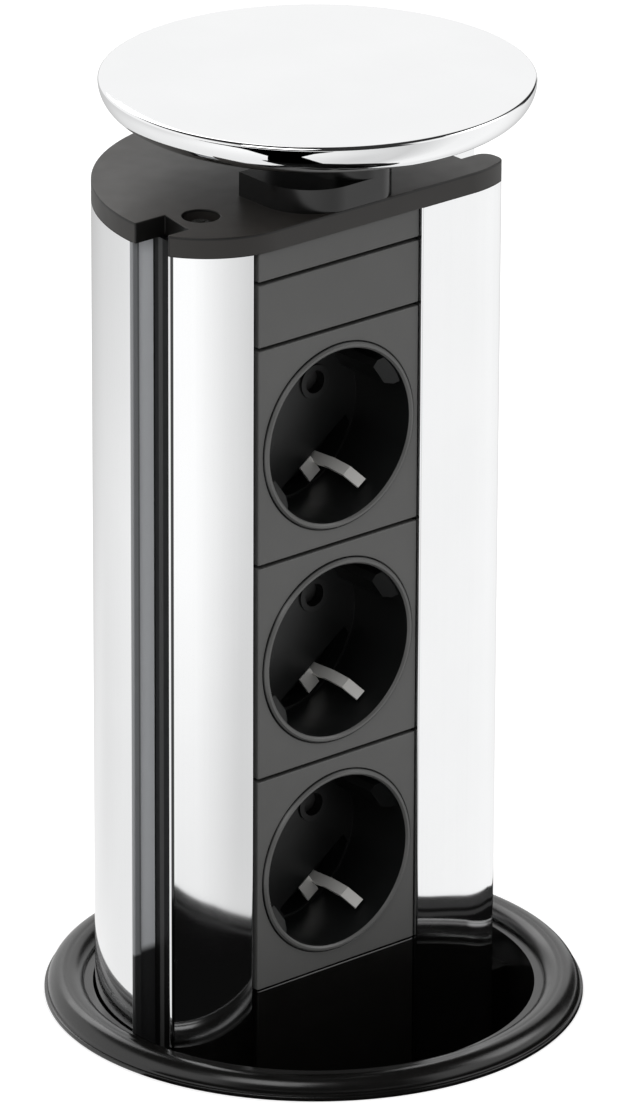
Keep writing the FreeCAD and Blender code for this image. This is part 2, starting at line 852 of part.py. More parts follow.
def placed_in_well(shape, height):
    """Turn a part of the socket to the pin line and set it at its well."""
    placed = shape.copy()
    placed.Placement = Placement(Vector(strip_middle, front_face, height),
                                 Rotation(Vector(0, 1, 0), -well_turn)).multiply(placed.Placement)
    return placed


def busbar(x, offset_z):
    """Upright strip that joins the tails of the three sockets and runs down to the terminals."""
    top = well_heights[0] + offset_z + busbar_width
    bottom = tower_bottom + terminal_height - terminal_slot_depth
    return box(x - busbar_width / 2, x + busbar_width / 2, busbar_front,
               busbar_front + busbar_thickness, bottom, top)


def pin_offset():
    """Sideways and upward step from the well's middle to the upper pin."""
    angle = math.radians(well_turn)
    return pin_spacing / 2 * math.cos(angle), pin_spacing / 2 * math.sin(angle)


def terminal_lines():
    """Sideways places of the busbars and their terminals."""
    across = pin_offset()[0]
    return [strip_middle - across, strip_middle, strip_middle + across]


def terminal_block():
    """Block on the tower's foot that takes the busbars and the supply wires."""
    y0 = busbar_front - terminal_depth / 2
    top = tower_bottom + terminal_height
    screw_y = y0 + terminal_screw_inset
    body = box(strip_middle - terminal_width / 2, strip_middle + terminal_width / 2, y0,
               y0 + terminal_depth, tower_bottom, top)
    half = busbar_width / 2 + terminal_gap
    for x in terminal_lines():
        body = body.cut(box(x - half, x + half, busbar_front - terminal_gap,
                            busbar_front + busbar_thickness + terminal_gap,
                            top - terminal_slot_depth - terminal_gap, top + 1))
        body = body.cut(rod(terminal_screw_radius + terminal_gap, x, screw_y,
                            tower_bottom + terminal_wire_height, top + 1))
        body = body.cut(depth_rod(terminal_wire_radius, x, tower_bottom + terminal_wire_height,
                                  y0 - 1, screw_y))
    return body


def terminal_screws():
    """Slotted clamp screws of the terminal block."""
    y = busbar_front - terminal_depth / 2 + terminal_screw_inset
    bottom = tower_bottom + terminal_wire_height + terminal_wire_radius + 0.5
    top = tower_bottom + terminal_height - 0.5
    screws = []
    for x in terminal_lines():
        screw = rod(terminal_screw_radius, x, y, bottom, top)
        slot = box(x - terminal_screw_radius - 1, x + terminal_screw_radius + 1, y - 0.3,
                   y + 0.3, top - 1.1, top + 1)
        screws.append(screw.cut(slot))
    return Part.makeCompound(screws)


# Tower foot

def bottom_cap():
    """Full round foot of the tower: closes the column, and stops under the guide sleeve."""
    top = tower_bottom
    plate = rod(cap_radius, 0, 0, top - cap_thickness, top)
    plate = plate.makeFillet(cap_round, [edge for edge in plate.Edges
                                         if abs(edge.BoundBox.ZMax - plate.BoundBox.ZMin) < 1e-4])
    body = plate.cut(screw_ports(screw_radius + 0.2, top - cap_thickness - 1, top + 1))
    body = body.cut(screw_ports(screw_head_radius + 0.3, top - cap_thickness - 1,
                                top - cap_thickness + screw_head_height + 0.1))
    x, y = gland_place
    return body.cut(rod(gland_thread_radius + gland_thread_gap, x, y, top - cap_thickness - 1,
                        top + 1))


def bottom_cap_screws():
    """Screws of the foot, up into the column's ports."""
    seat = tower_bottom - cap_thickness + screw_head_height
    return Part.makeCompound([pan_screw(x, y, seat, screw_length, True)
                              for x, y in plate_screws])


def hexagon(across_flats, x, y, z0, z1):
    """Upright hexagonal bar."""
    radius = across_flats / math.sqrt(3)
    corners = [Vector(x + radius * math.cos(math.radians(60 * turn)),
                      y + radius * math.sin(math.radians(60 * turn)), z0) for turn in range(7)]
    return Part.Face(Part.makePolygon(corners)).extrude(Vector(0, 0, z1 - z0))


def cable_gland():
    """Gland body: thread through the foot, hexagon below, and a second thread for its nut."""
    x, y = gland_place
    under = tower_bottom - cap_thickness
    body = joined([
        rod(gland_thread_radius, x, y, under - gland_flange_height - 6.0,
            tower_bottom + locknut_height + 1.5),
        hexagon(gland_hex, x, y, under - gland_flange_height, under),
    ])
    return body.cut(rod(gland_bore_radius, x, y, body.BoundBox.ZMin - 1, body.BoundBox.ZMax + 1))


def gland_locknut():
    """Nut that holds the gland inside the foot."""
    x, y = gland_place
    body = hexagon(gland_hex, x, y, tower_bottom, tower_bottom + locknut_height)
    return body.cut(rod(gland_thread_radius + gland_thread_gap, x, y, tower_bottom - 1,
                        tower_bottom + locknut_height + 1))


def gland_nut():
    """Domed nut that squeezes the gland around the supply cord."""
    x, y = gland_place
    top = tower_bottom - cap_thickness - gland_flange_height - 0.3
    bottom = top - gland_nut_height
    dome = Part.makeCone(gland_nut_nose_radius, gland_hex / 2, 6.0, Vector(x, y, bottom))
    body = joined([dome, hexagon(gland_hex, x, y, bottom + 6.0, top)])
    body = body.cut(rod(gland_thread_radius + gland_thread_gap, x, y, bottom + 7.5, top + 1))
    return body.cut(rod(gland_bore_radius + 0.5, x, y, bottom - 1, top))


# Flange and guide

def flange_ring():
    """Round trim ring: stepped rim, rolled top and a lip that leads into the opening."""
    step_radius = ring_radius - ring_step
    return turned(
        at(ring_radius, 0),
        at(ring_radius, ring_step_height),
        at(step_radius, ring_step_height + 0.2),
        (at((step_radius + ring_crest_radius) / 2 + 0.95, ring_crest - 0.75),
         at(ring_crest_radius, ring_crest)),
        (at((ring_crest_radius + ring_opening) / 2 - 0.35, ring_crest - 0.5),
         at(ring_opening, ring_lip)),
        at(ring_opening, ring_seat),
        at(ring_skirt_radius, ring_seat),
        at(ring_skirt_radius, 0),
    )


def flange_seal():
    """Flat seal between the sleeve's collar and the worktop."""
    return tube(seal_inner_radius, seal_outer_radius, 0, seal_height)


def side_screw(x, y, z):
    """Countersunk screw from outside the sleeve into a guide key, along X."""
    inward = -1 if x > 0 else 1
    head = Part.makeCone(key_screw_head_radius, key_screw_radius, 1.2, Vector(x, y, z),
                         Vector(inward, 0, 0))
    shank = Part.makeCylinder(key_screw_radius, key_screw_length, Vector(x, y, z),
                              Vector(inward, 0, 0))
    return head.fuse(shank)


def key_middle(side):
    """Middle of a guide key across its slot: the left key is side -1."""
    front = left_slot_front if side < 0 else right_slot_front
    return (front + notch_rear) / 2


def key_screw_starts(side):
    """Where the screws of a guide key start on the sleeve's outside."""
    y = key_middle(side)
    x = side * (math.sqrt(sleeve_radius ** 2 - y ** 2) - 0.05)
    return [(x, y, z) for z in key_screw_heights]


def guide_sleeve():
    """Tube in the worktop's cut-out with a collar on top, windows for the pads and screw holes."""
    collar_bottom = seal_height
    body = tube(sleeve_bore_radius, sleeve_radius, -sleeve_length, collar_bottom + sleeve_collar)
    body = body.fuse(tube(sleeve_bore_radius, sleeve_collar_radius, collar_bottom,
                          collar_bottom + sleeve_collar)).removeSplitter()
    for angle in pad_angles:
        body = body.cut(pad_block(angle, sleeve_bore_radius - 5, pad_fit))
    for side in (-1, 1):
        for x, y, z in key_screw_starts(side):
            body = body.cut(side_screw(x, y, z))
            outside = x + side * 3
            body = body.cut(Part.makeCylinder(key_screw_head_radius, 3, Vector(outside, y, z),
                                              Vector(-side, 0, 0)))
    return body


def pad_block(angle, inner, grow):
    """Upright block through the sleeve's wall at an angle, from a given distance outwards."""
    block = box(inner, sleeve_radius + 2, -pad_width / 2 - grow, pad_width / 2 + grow,
                pad_bottom - grow, pad_bottom + pad_height + grow)
    block.rotate(Vector(0, 0, 0), Vector(0, 0, 1), angle)
    return block


def glide_pads():
    """Felt pads in the sleeve's windows, which steady the tower and hold it where it is put."""
    limit = rod(sleeve_radius, 0, 0, pad_bottom - 1, pad_bottom + pad_height + 1)
    return Part.makeCompound([
        pad_block(angle, tower_radius + pad_gap, 0).common(limit).Solids[0]
        for angle in pad_angles
    ])


def guide_key(side):
    """Upright bar on the sleeve's wall that runs in a side slot of the tower."""
    front = left_slot_front if side < 0 else right_slot_front
    outer = side * (sleeve_bore_radius + 1)
    inner = side * (sleeve_bore_radius - key_reach)
    bar = box(min(outer, inner), max(outer, inner), front + key_gap, notch_rear - key_gap,
              key_bottom, key_top)
    bar = bar.common(rod(sleeve_bore_radius, 0, 0, key_bottom - 1, key_top + 1))
    for x, y, z in key_screw_starts(side):
        bar = bar.cut(Part.makeCylinder(key_screw_radius, key_screw_length + 0.2, Vector(x, y, z),
                                        Vector(-side, 0, 0)))
    return bar


def guide_key_screws():
    """Screws that hold both guide keys to the sleeve."""
    screws = []
    for side in (-1, 1):
        screws += [side_screw(x, y, z) for x, y, z in key_screw_starts(side)]
    return Part.makeCompound(screws)


def clamp_washer():
    """Flat washer against the worktop's underside."""
    top = -worktop_thickness
    return tube(sleeve_radius + thread_gap, washer_radius, top - washer_thickness, top)


def clamp_nut():
    """Ring nut on the sleeve's thread, with round grips, that clamps the flange down."""
    top = -worktop_thickness - washer_thickness
    bottom = top - nut_height
    body = rod(nut_radius, 0, 0, bottom, top)
    grips = []
    for place in range(nut_grips):
        angle = math.radians(360 / nut_grips * place)
        grips.append(rod(nut_grip_radius, nut_radius * math.cos(angle),
                         nut_radius * math.sin(angle), bottom, top))
    body = joined([body] + grips)
    return body.cut(rod(sleeve_radius + thread_gap, 0, 0, bottom - 1, top + 1))


os.makedirs("parts", exist_ok=True)

export("flange_ring", flange_ring())
export("flange_seal", flange_seal())
export("guide_sleeve", guide_sleeve())
export("guide_key_left", guide_key(-1))
export("guide_key_right", guide_key(1))
export("guide_key_screws", guide_key_screws())
export("glide_pads", glide_pads())
export("clamp_washer", clamp_washer())
export("clamp_nut", clamp_nut())

export("tower_profile", tower_profile())
export("top_plate", top_plate())
export("top_plate_screws", top_plate_screws())
export("neck", neck())
export("neck_screws", neck_screws())
export("lid_cap", lid_cap())
export("lid_core", lid_core())

export("top_filler", strip_cover(filler_bottom + joint_gap / 2, tower_top))
export("blank_cover", strip_cover(blank_bottom + joint_gap / 2, filler_bottom - joint_gap / 2))
export("lower_cover", strip_cover(tower_bottom, lowest_joint - fine_joint / 2))

insert = socket_insert()
blades = shutter()
spring = shutter_spring()
print("least gap of the shutter spring to itself: %.2f mm" % coil_gap())
base = socket_base()
contacts = pin_contacts()
earth = earth_contact()
for number, (bottom, height) in enumerate(zip(module_bottoms, well_heights), start=1):
    lower_gap = fine_joint / 2 if bottom == lowest_joint else joint_gap / 2
    export("socket_frame_%d" % number, socket_frame(bottom, lower_gap))
    export("socket_insert_%d" % number, placed_in_well(insert, height))
    export("shutter_%d" % number, placed_in_well(blades, height))
    export("shutter_spring_%d" % number, placed_in_well(spring, height))
    export("socket_base_%d" % number, placed_in_well(base, height))
    export("pin_contacts_%d" % number, placed_in_well(contacts, height))
    export("earth_contact_%d" % number, placed_in_well(earth, height))

pin_across, pin_up = pin_offset()
export("live_busbar", busbar(strip_middle + pin_across, pin_up))
export("neutral_busbar", busbar(strip_middle - pin_across, -pin_up))
export("earth_busbar", busbar(strip_middle, 0))
export("terminal_block", terminal_block())
export("terminal_screws", terminal_screws())
export("bottom_cap", bottom_cap())
export("bottom_cap_screws", bottom_cap_screws())
export("cable_gland", cable_gland())
export("gland_locknut", gland_locknut())
export("gland_nut", gland_nut())
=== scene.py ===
"""Looks of the pull-up socket tower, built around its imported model."""

import logging
import math
from dataclasses import dataclass
from enum import Enum
from functools import reduce
from typing import Callable, Mapping, Optional, Sequence, Union

import bmesh
import bpy
from bmesh.types import BMEdge, BMesh, BMVert
from bpy.types import ID, ColorRamp, Material, Node, NodeSocket, NodeTree, Object
from mathutils import Matrix, Vector


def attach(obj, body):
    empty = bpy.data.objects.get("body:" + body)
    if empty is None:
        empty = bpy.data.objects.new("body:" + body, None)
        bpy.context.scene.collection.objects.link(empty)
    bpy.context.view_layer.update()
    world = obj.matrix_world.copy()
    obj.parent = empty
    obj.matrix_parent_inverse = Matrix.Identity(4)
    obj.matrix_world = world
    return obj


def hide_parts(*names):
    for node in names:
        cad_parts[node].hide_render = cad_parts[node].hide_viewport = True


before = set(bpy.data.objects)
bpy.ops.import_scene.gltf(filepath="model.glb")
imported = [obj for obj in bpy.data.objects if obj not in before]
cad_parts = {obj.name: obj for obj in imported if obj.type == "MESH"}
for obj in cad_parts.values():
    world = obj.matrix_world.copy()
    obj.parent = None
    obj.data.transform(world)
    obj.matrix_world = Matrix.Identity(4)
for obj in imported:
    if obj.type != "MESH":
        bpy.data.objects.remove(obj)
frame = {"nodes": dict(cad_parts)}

log = logging.getLogger("socket_tower")

MM = 0.001
WELD = 1e-7
HALF_WAY = math.sqrt(0.5)
UP = Vector((0, 0, 1))

Colour = tuple[float, float, float]
Span = tuple[float, float]


def mm(x: float, y: float, z: float) -> Vector:
    """Point given in millimetres, in metres."""
    return Vector((x, y, z)) * MM


# Maths and nodes of the shaders

@dataclass
class Level:
    """A shader value that takes part in arithmetic; each operation adds its Math node."""

    graph: "Graph"
    socket: NodeSocket

    def _maths(self, operation: str, other: "Operand", flipped: bool = False) -> "Level":
        """Add one Math node.

        Args:
            operation: Name of the node's operation.
            other: Second operand.
            flipped: Put the second operand first.

        Returns:
            The node's result.
        """
        pair = (other, self) if flipped else (self, other)
        node = self.graph.add("ShaderNodeMath", {"operation": operation}, dict(enumerate(pair)))
        return Level(self.graph, node.outputs[0])

    def __add__(self, other: "Operand") -> "Level":
        """Sum."""
        return self._maths("ADD", other)

    def __sub__(self, other: "Operand") -> "Level":
        """Difference."""
        return self._maths("SUBTRACT", other)

    def __rsub__(self, other: "Operand") -> "Level":
        """Difference with the number first."""
        return self._maths("SUBTRACT", other, True)

    def __mul__(self, other: "Operand") -> "Level":
        """Product."""
        return self._maths("MULTIPLY", other)

    def at_least(self, other: "Operand") -> "Level":
        """Larger of the two."""
        return self._maths("MAXIMUM", other)

    def angle_with(self, other: "Operand") -> "Level":
        """Angle whose tangent is this value over the other."""
        return self._maths("ARCTAN2", other)

    def power(self, exponent: float) -> "Level":
        """Value raised to an exponent."""
        return self._maths("POWER", exponent)

    def past(self, edge_mm: float, soft_mm: float = 0.08) -> "Level":
        """Step that is 1 where a place in metres lies past an edge in millimetres."""
        return self.between((edge_mm - soft_mm) * MM, (edge_mm + soft_mm) * MM)

    def band(self, edges_mm: Span, soft_mm: float = 0.08) -> "Level":
        """Band that is 1 where a place in metres lies between two edges in millimetres."""
        low, high = edges_mm
        return self.past(low, soft_mm) * (1 - self.past(high, soft_mm))

    def between(self, low: float, high: float) -> "Level":
        """Smooth step of the value, from 0 at the low end to 1 at the high end."""
        node = self.graph.add("ShaderNodeMapRange", {"interpolation_type": "SMOOTHSTEP"},
                              {"Value": self, "From Min": low, "From Max": high})
        return Level(self.graph, node.outputs["Result"])


Operand = Union[Level, float]
Fed = Union[Level, NodeSocket, float, Sequence[float]]


class Graph:
    """Node tree of a material or world, cleared and ready to build in."""

    def __init__(self, tree: NodeTree) -> None:
        """Clear the tree."""
        self.tree = tree
        tree.nodes.clear()

    def add(self, kind: str, settings: Optional[Mapping[str, object]] = None,
            inputs: Optional[Mapping[Union[str, int], Fed]] = None) -> Node:
        """Add a node.

        Args:
            kind: The node's type.
            settings: Its settings, set before its sockets; "stops" are a ramp's stops.
            inputs: Values or links of its sockets.

        Returns:
            The node.
        """
        node = self.tree.nodes.new(kind)
        for name, value in (settings or {}).items():
            if name == "stops":
                self._set_stops(node.color_ramp, value)
            else:
                setattr(node, name, value)
        for name, value in (inputs or {}).items():
            self._feed(node.inputs[name], value)
        return node

    def _set_stops(self, ramp: ColorRamp, stops: Sequence[Span]) -> None:
        """Give a ramp its grey stops.

        Args:
            ramp: The node's ramp.
            stops: Position and grey of each stop.
        """
        while len(ramp.elements) < len(stops):
            ramp.elements.new(1.0)
        for element, (position, grey) in zip(ramp.elements, stops):
            element.position = position
            element.color = (grey, grey, grey, 1.0)

    def _feed(self, socket: NodeSocket, value: Fed) -> None:
        """Link or set one socket.

        Args:
            socket: The node's input.
            value: A value of the shader, another node's output, or numbers.
        """
        value = getattr(value, "socket", value)
        if isinstance(value, NodeSocket):
            self.tree.links.new(value, socket)
        elif socket.type == "RGBA" and len(value) == 3:
            socket.default_value = (*value, 1.0)
        else:
            socket.default_value = value

    def noise(self, size_mm: float, stretch: Sequence[float] = (1, 1, 1), detail: float = 2.0,
              offset: float = 0.0) -> Level:
        """Noise on the object's own coordinates.

        Args:
            size_mm: Size of its features.
            stretch: How much longer the features are along each axis.
            detail: Octaves of finer noise.
            offset: Shift that makes one noise differ from another.

        Returns:
            Noise around 0.5.
        """
        place = self.add("ShaderNodeTexCoord").outputs["Object"]
        scale = tuple(1 / (size_mm * MM * part) for part in stretch)
        moved = self.add("ShaderNodeMapping", {"vector_type": "POINT"},
                         {"Vector": place, "Scale": scale, "Location": (offset,) * 3})
        node = self.add("ShaderNodeTexNoise", {"noise_dimensions": "3D"},
                        {"Vector": moved.outputs[0], "Scale": 1.0, "Detail": detail})
        return Level(self, node.outputs[0])

    def axes(self) -> tuple[Level, Level, Level]:
        """Place on the object along x, y and z, in metres."""
        place = self.add("ShaderNodeTexCoord").outputs["Object"]
        split = self.add("ShaderNodeSeparateXYZ", inputs={0: place})
        return tuple(Level(self, output) for output in split.outputs)

    def blend(self, factor: Fed, low: Fed, high: Fed) -> NodeSocket:
        """Mix of two colours: the low one where the factor is 0, the high one where it is 1."""
        node = self.add("ShaderNodeMix", {"data_type": "RGBA"}, {0: factor, 6: low, 7: high})
        return node.outputs[2]

    def ramp(self, stops: Sequence[Span], value: Level) -> Level:
        """Grey that follows stops as a value goes from 0 to 1."""
        node = self.add("ShaderNodeValToRGB", {"stops": stops}, {0: value})
        return Level(self, node.outputs[0])

    def relief(self, height: Level, depth_mm: float, strength: float) -> NodeSocket:
        """Normal bumped by a height from 0 to 1, of a given depth and strength."""
        node = self.add("ShaderNodeBump", inputs={
            "Strength": strength, "Distance": depth_mm * MM, "Height": height})
        return node.outputs[0]

    def finish(self, shader: NodeSocket) -> None:
        """Give a material its shader."""
        self.add("ShaderNodeOutputMaterial", inputs={0: shader})

    def glow(self, strength: Fed) -> NodeSocket:
        """White light of a given strength."""
        inputs = {"Color": (1, 1, 1), "Strength": strength}
        return self.add("ShaderNodeEmission", inputs=inputs).outputs[0]

    def rays(self, *kinds: str) -> Level:
        """Level that is 1 for rays of the named kinds and 0 for others."""
        outputs = self.add("ShaderNodeLightPath").outputs
        return reduce(Level.at_least, [Level(self, outputs["Is %s Ray" % kind]) for kind in kinds])


def shade(colour: Colour, share: float) -> Colour:
    """Colour made darker or lighter by a share."""
    return tuple(min(part * share, 1.0) for part in colour)


def new_material(name: str) -> tuple[Material, Graph]:
    """New material of a given name, with its cleared node tree."""
    made = bpy.data.materials.new(name)
    made.use_nodes = True
    return made, Graph(made.node_tree)


def linked(name: str, data: ID) -> Object:
    """New object of a given name for some data, linked to the scene."""
    made = bpy.data.objects.new(name, data)
    bpy.context.scene.collection.objects.link(made)
    return made


def new_object(name: str, mesh: BMesh, material: Material) -> Object:
    """Turn a finished bmesh into an object at the origin.

    Args:
        name: The object's name.
        mesh: Its mesh, in place; it is freed.
        material: Its material.

    Returns:
        The object.
    """
    data = bpy.data.meshes.new(name)
    mesh.to_mesh(data)
    mesh.free()
    data.materials.append(material)
    return linked(name, data)


# Finishes

@dataclass(frozen=True)
class Coat:
    """What every finish has: its name, the record's slot and a colour."""

    name: str
    slot: str
    colour: Colour

    def material(self) -> Material:
        """Build the material."""
        made, graph = new_material(self.name)
        shader = graph.add("ShaderNodeBsdfPrincipled", inputs=self.inputs(graph))
        graph.finish(shader.outputs[0])
        return made

    def inputs(self, graph: Graph) -> dict[str, Fed]:
        """Work out the shader's inputs; each kind of finish has its own way.

        Args:
            graph: The material's nodes.

        Returns:
            Values or links of the shader's sockets, by name.
        """
        raise NotImplementedError

    def mottled(self, graph: Graph, factor: Level, share: float) -> NodeSocket:
        """Colour that is darker by a share where the factor is 0 and lighter where it is 1."""
        return graph.blend(factor, shade(self.colour, 1 - share), shade(self.colour, 1 + share))


@dataclass(frozen=True)
class MouldedPlastic(Coat):
    """Injection-moulded plastic with a fine spark-eroded grain; given a face colour, it keeps that on
    its face and its darker colour elsewhere is painted shade.
    """

    roughness: float = 0.5
    grain_mm: float = 0.35
    grain_depth_mm: float = 0.012
    mottle: float = 0.12
    specular: float = 0.5
    face: Optional[Colour] = None
    face_y_mm: float = -19.3
    grain_relief: float = 0.35
    cloud_mm: float = 14.0
    cloud_share: float = 0.6
    wear_mm: float = 5.0
    wear: float = 0.12

    def inputs(self, graph: Graph) -> dict[str, Fed]:
        """See Coat."""
        cloud = graph.noise(self.cloud_mm, detail=3.0)
        grain = graph.noise(self.grain_mm, detail=3.0, offset=3.1)
        uneven = cloud * self.cloud_share + grain * (1 - self.cloud_share)
        worn = graph.noise(self.wear_mm, offset=7.7) * self.wear
        return {
            "Base Color": self.paint_shade(graph, self.mottled(graph, uneven, self.mottle)),
            "Roughness": worn + (self.roughness - self.wear / 2),
            "Specular IOR Level": self.specular,
            "Normal": graph.relief(grain, self.grain_depth_mm, self.grain_relief)}

    def paint_shade(self, graph: Graph, colour: NodeSocket) -> NodeSocket:
        """Colour with the face colour on its face, if the finish has one; the darker colour elsewhere
        is painted shade.
        """
        if self.face is None:
            return colour
        return graph.blend(graph.axes()[1].past(self.face_y_mm), self.face, colour)


@dataclass(frozen=True)
class PlatePlastic(MouldedPlastic):
    """Warm dark plastic of the cover plate, with painted shade: darker on its sides and near black on
    its top edge and in its notch.
    """

    roughness: float = 0.45
    mottle: float = 0.2
    specular: float = 0.4
    cloud_share: float = 0.5
    # Painted shade: the sides are darker, and the top edge from line_mm up and the notch are near
    # black.
    top_mm: float = 191.64
    top_soft_mm: float = 0.03
    line_mm: float = 191.15
    shade_line_soft_mm: float = 0.05
    side_shade_share: float = 0.5
    shade_black_share: float = 0.04
    black: float = 0.94
    notch_x_mm: float = -36.5
    notch_y_mm: Span = (-8.3, 2.7)

    def paint_shade(self, graph: Graph, colour: NodeSocket) -> NodeSocket:
        """Paint shade on the plate below its top: darker sides, near black on its top edge and in its
        notch.

        Args:
            graph: The material's nodes.
            colour: Colour of its top.

        Returns:
            The colour.
        """
        x, y, z = graph.axes()
        # Painted shade in the notch, on the top edge and on the sides.
        notch_shade = (1 - x.past(self.notch_x_mm)) * y.band(self.notch_y_mm)
        painted_black = notch_shade.at_least(z.past(self.line_mm, self.shade_line_soft_mm)) * self.black
        side = graph.blend(painted_black, shade(self.colour, self.side_shade_share),
                           shade(self.colour, self.shade_black_share))
        return graph.blend(z.past(self.top_mm, self.top_soft_mm), side, colour)


@dataclass(frozen=True)
class BrightMetal(Coat):
    """Polished or plated metal, with faint drawing lines and handling marks."""

    roughness: float = 0.2
    smudge: float = 0.1
    line_mm: float = 0.3
    line_stretch: float = 1.0
    line_depth_mm: float = 0.002
    metallic: float = 1.0
    line_relief: float = 0.3
    mark_mm: float = 22.0
    mark_levels: Span = (0.35, 0.8)
    mottle: float = 0.02

    def inputs(self, graph: Graph) -> dict[str, Fed]:
        """See Coat."""
        lines = graph.noise(self.line_mm, (1, 1, self.line_stretch))
        marks = graph.noise(self.mark_mm, detail=4.0, offset=5.3).between(*self.mark_levels)
        return {
            "Base Color": self.mottled(graph, lines * 0.5 + marks * 0.5, self.mottle),
            "Metallic": self.metallic, "Roughness": marks * self.smudge + self.roughness,
            "Normal": graph.relief(lines, self.line_depth_mm, self.line_relief)}


@dataclass(frozen=True)
class ExtrudedMetal(BrightMetal):
    """Bright extrusion, polished outside and left dull inside its left slot, with painted shade on
    the slot's lip, in its undercut, low down near the ring and on its floor, a painted highlight band
    along the floor, and painted shade in the bead groove.
    """

    roughness: float = 0.045
    smudge: float = 0.03
    line_mm: float = 0.7
    line_stretch: float = 200.0
    line_depth_mm: float = 0.0006
    dull: Colour = (0.87, 0.89, 0.92)
    # Colour of the painted shade in and beside the slot.
    dark: Colour = (0.004, 0.004, 0.004)
    dull_roughness: float = 0.4
    dull_share: float = 0.85
    slot_x_mm: float = -41.8
    slot_y_mm: Span = (-7.72, 4.45)
    floor_shade_x_mm: float = -42.2
    highlight_band_y_mm: Span = (1.4, 2.8)
    highlight_band_share: float = 16.0
    lip_x_mm: float = -47.15
    lip_shade_share: float = 0.7
    shadow_x_mm: float = -46.3
    shadow_black: float = 0.8
    groove_y_mm: Span = (-8.98, -8.4)
    groove_shade_share: float = 0.93
    low_shade_mm: float = 21.0
    low_shade_soft_mm: float = 1.2
    low_shade_share: float = 0.97

    def inputs(self, graph: Graph) -> dict[str, Fed]:
        """See Coat."""
        found = super().inputs(graph)
        x, y, z = graph.axes()
        within = (1 - x.past(self.slot_x_mm)) * y.band(self.slot_y_mm)
        # Painted shade on the slot's lip, in its undercut and low down near the ring.
        lip = (1 - x.past(self.lip_x_mm)) * self.lip_shade_share
        shadow = x.band((self.lip_x_mm, self.shadow_x_mm)) * self.shadow_black
        foot = (1 - z.past(self.low_shade_mm, self.low_shade_soft_mm)) * self.low_shade_share
        wall = graph.blend((lip + shadow).at_least(foot), self.dull, self.dark)
        # Painted shade on the slot's floor, with a band of painted highlight along it.
        floor = graph.blend(y.band(self.highlight_band_y_mm), self.dark, shade(self.dark, self.highlight_band_share))
        colour = graph.blend(within, found["Base Color"], wall)
        colour = graph.blend(within * x.past(self.floor_shade_x_mm), colour, floor)
        # Painted shade in the bead groove beside the slot.
        groove = (1 - x.past(self.shadow_x_mm)) * y.band(self.groove_y_mm)
        found["Base Color"] = graph.blend(groove * self.groove_shade_share, colour, self.dark)
        found["Metallic"] = 1 - within * self.dull_share
        bright = found["Roughness"]
        found["Roughness"] = bright + within * (self.dull_roughness - bright)
        return found


@dataclass(frozen=True)
class SoftFinish(Coat):
    """Rubber or felt: matt, with a coarse nap."""

    nap_mm: float = 0.5
    nap_depth_mm: float = 0.1
    nap_relief: float = 0.6
    mottle: float = 0.3
    roughness: float = 0.85
    play: float = 0.1

    def inputs(self, graph: Graph) -> dict[str, Fed]:
        """See Coat."""
        nap = graph.noise(self.nap_mm, detail=4.0)
        return {"Base Color": self.mottled(graph, nap, self.mottle),
                "Roughness": nap * self.play + self.roughness,
                "Normal": graph.relief(nap, self.nap_depth_mm, self.nap_relief)}


class Finish(Enum):
    """The tower's finishes."""

    CHROME = BrightMetal("lid_chrome", "chrome", (0.9, 0.905, 0.91), roughness=0.03, smudge=0.02,
                         line_mm=30.0)
    PROFILE = ExtrudedMetal("profile_bright", "polished_profile", (0.9, 0.905, 0.91))
    PLATE = PlatePlastic("plate_satin", "plate_plastic", (0.045, 0.041, 0.037))
    STRIP = MouldedPlastic("strip_satin", "strip_plastic", (0.086, 0.086, 0.084), roughness=0.46)
    # Near-black colour: painted shade in the socket wells; the face colour is the plastic's own tone.
    WELL = MouldedPlastic("well_satin", "well_plastic", (0.0045, 0.005, 0.005), roughness=0.36,
                          face=(0.09, 0.09, 0.088))
    BLACK = MouldedPlastic("black_satin", "black_plastic", (0.0036, 0.0034, 0.0031),
                           roughness=0.24, grain_mm=0.6, grain_depth_mm=0.005, specular=0.6)
    SHUTTER = MouldedPlastic("shutter_satin", "shutter_plastic", (0.03, 0.03, 0.03))
    STEEL = BrightMetal("bright_steel", "steel", (0.97, 0.96, 0.93), metallic=0.5)
    DARK_STEEL = BrightMetal("dark_steel", "steel", (0.2, 0.2, 0.19), roughness=0.22, metallic=0.8)
    BRASS = BrightMetal("contact_brass", "brass", (0.78, 0.6, 0.32), roughness=0.18, smudge=0.12,
                        line_stretch=6.0)
    RUBBER = SoftFinish("seal_rubber", "seal_rubber", (0.02, 0.02, 0.02), nap_mm=0.4,
                        nap_depth_mm=0.03)
    FELT = SoftFinish("pad_felt", "felt", (0.07, 0.07, 0.07))


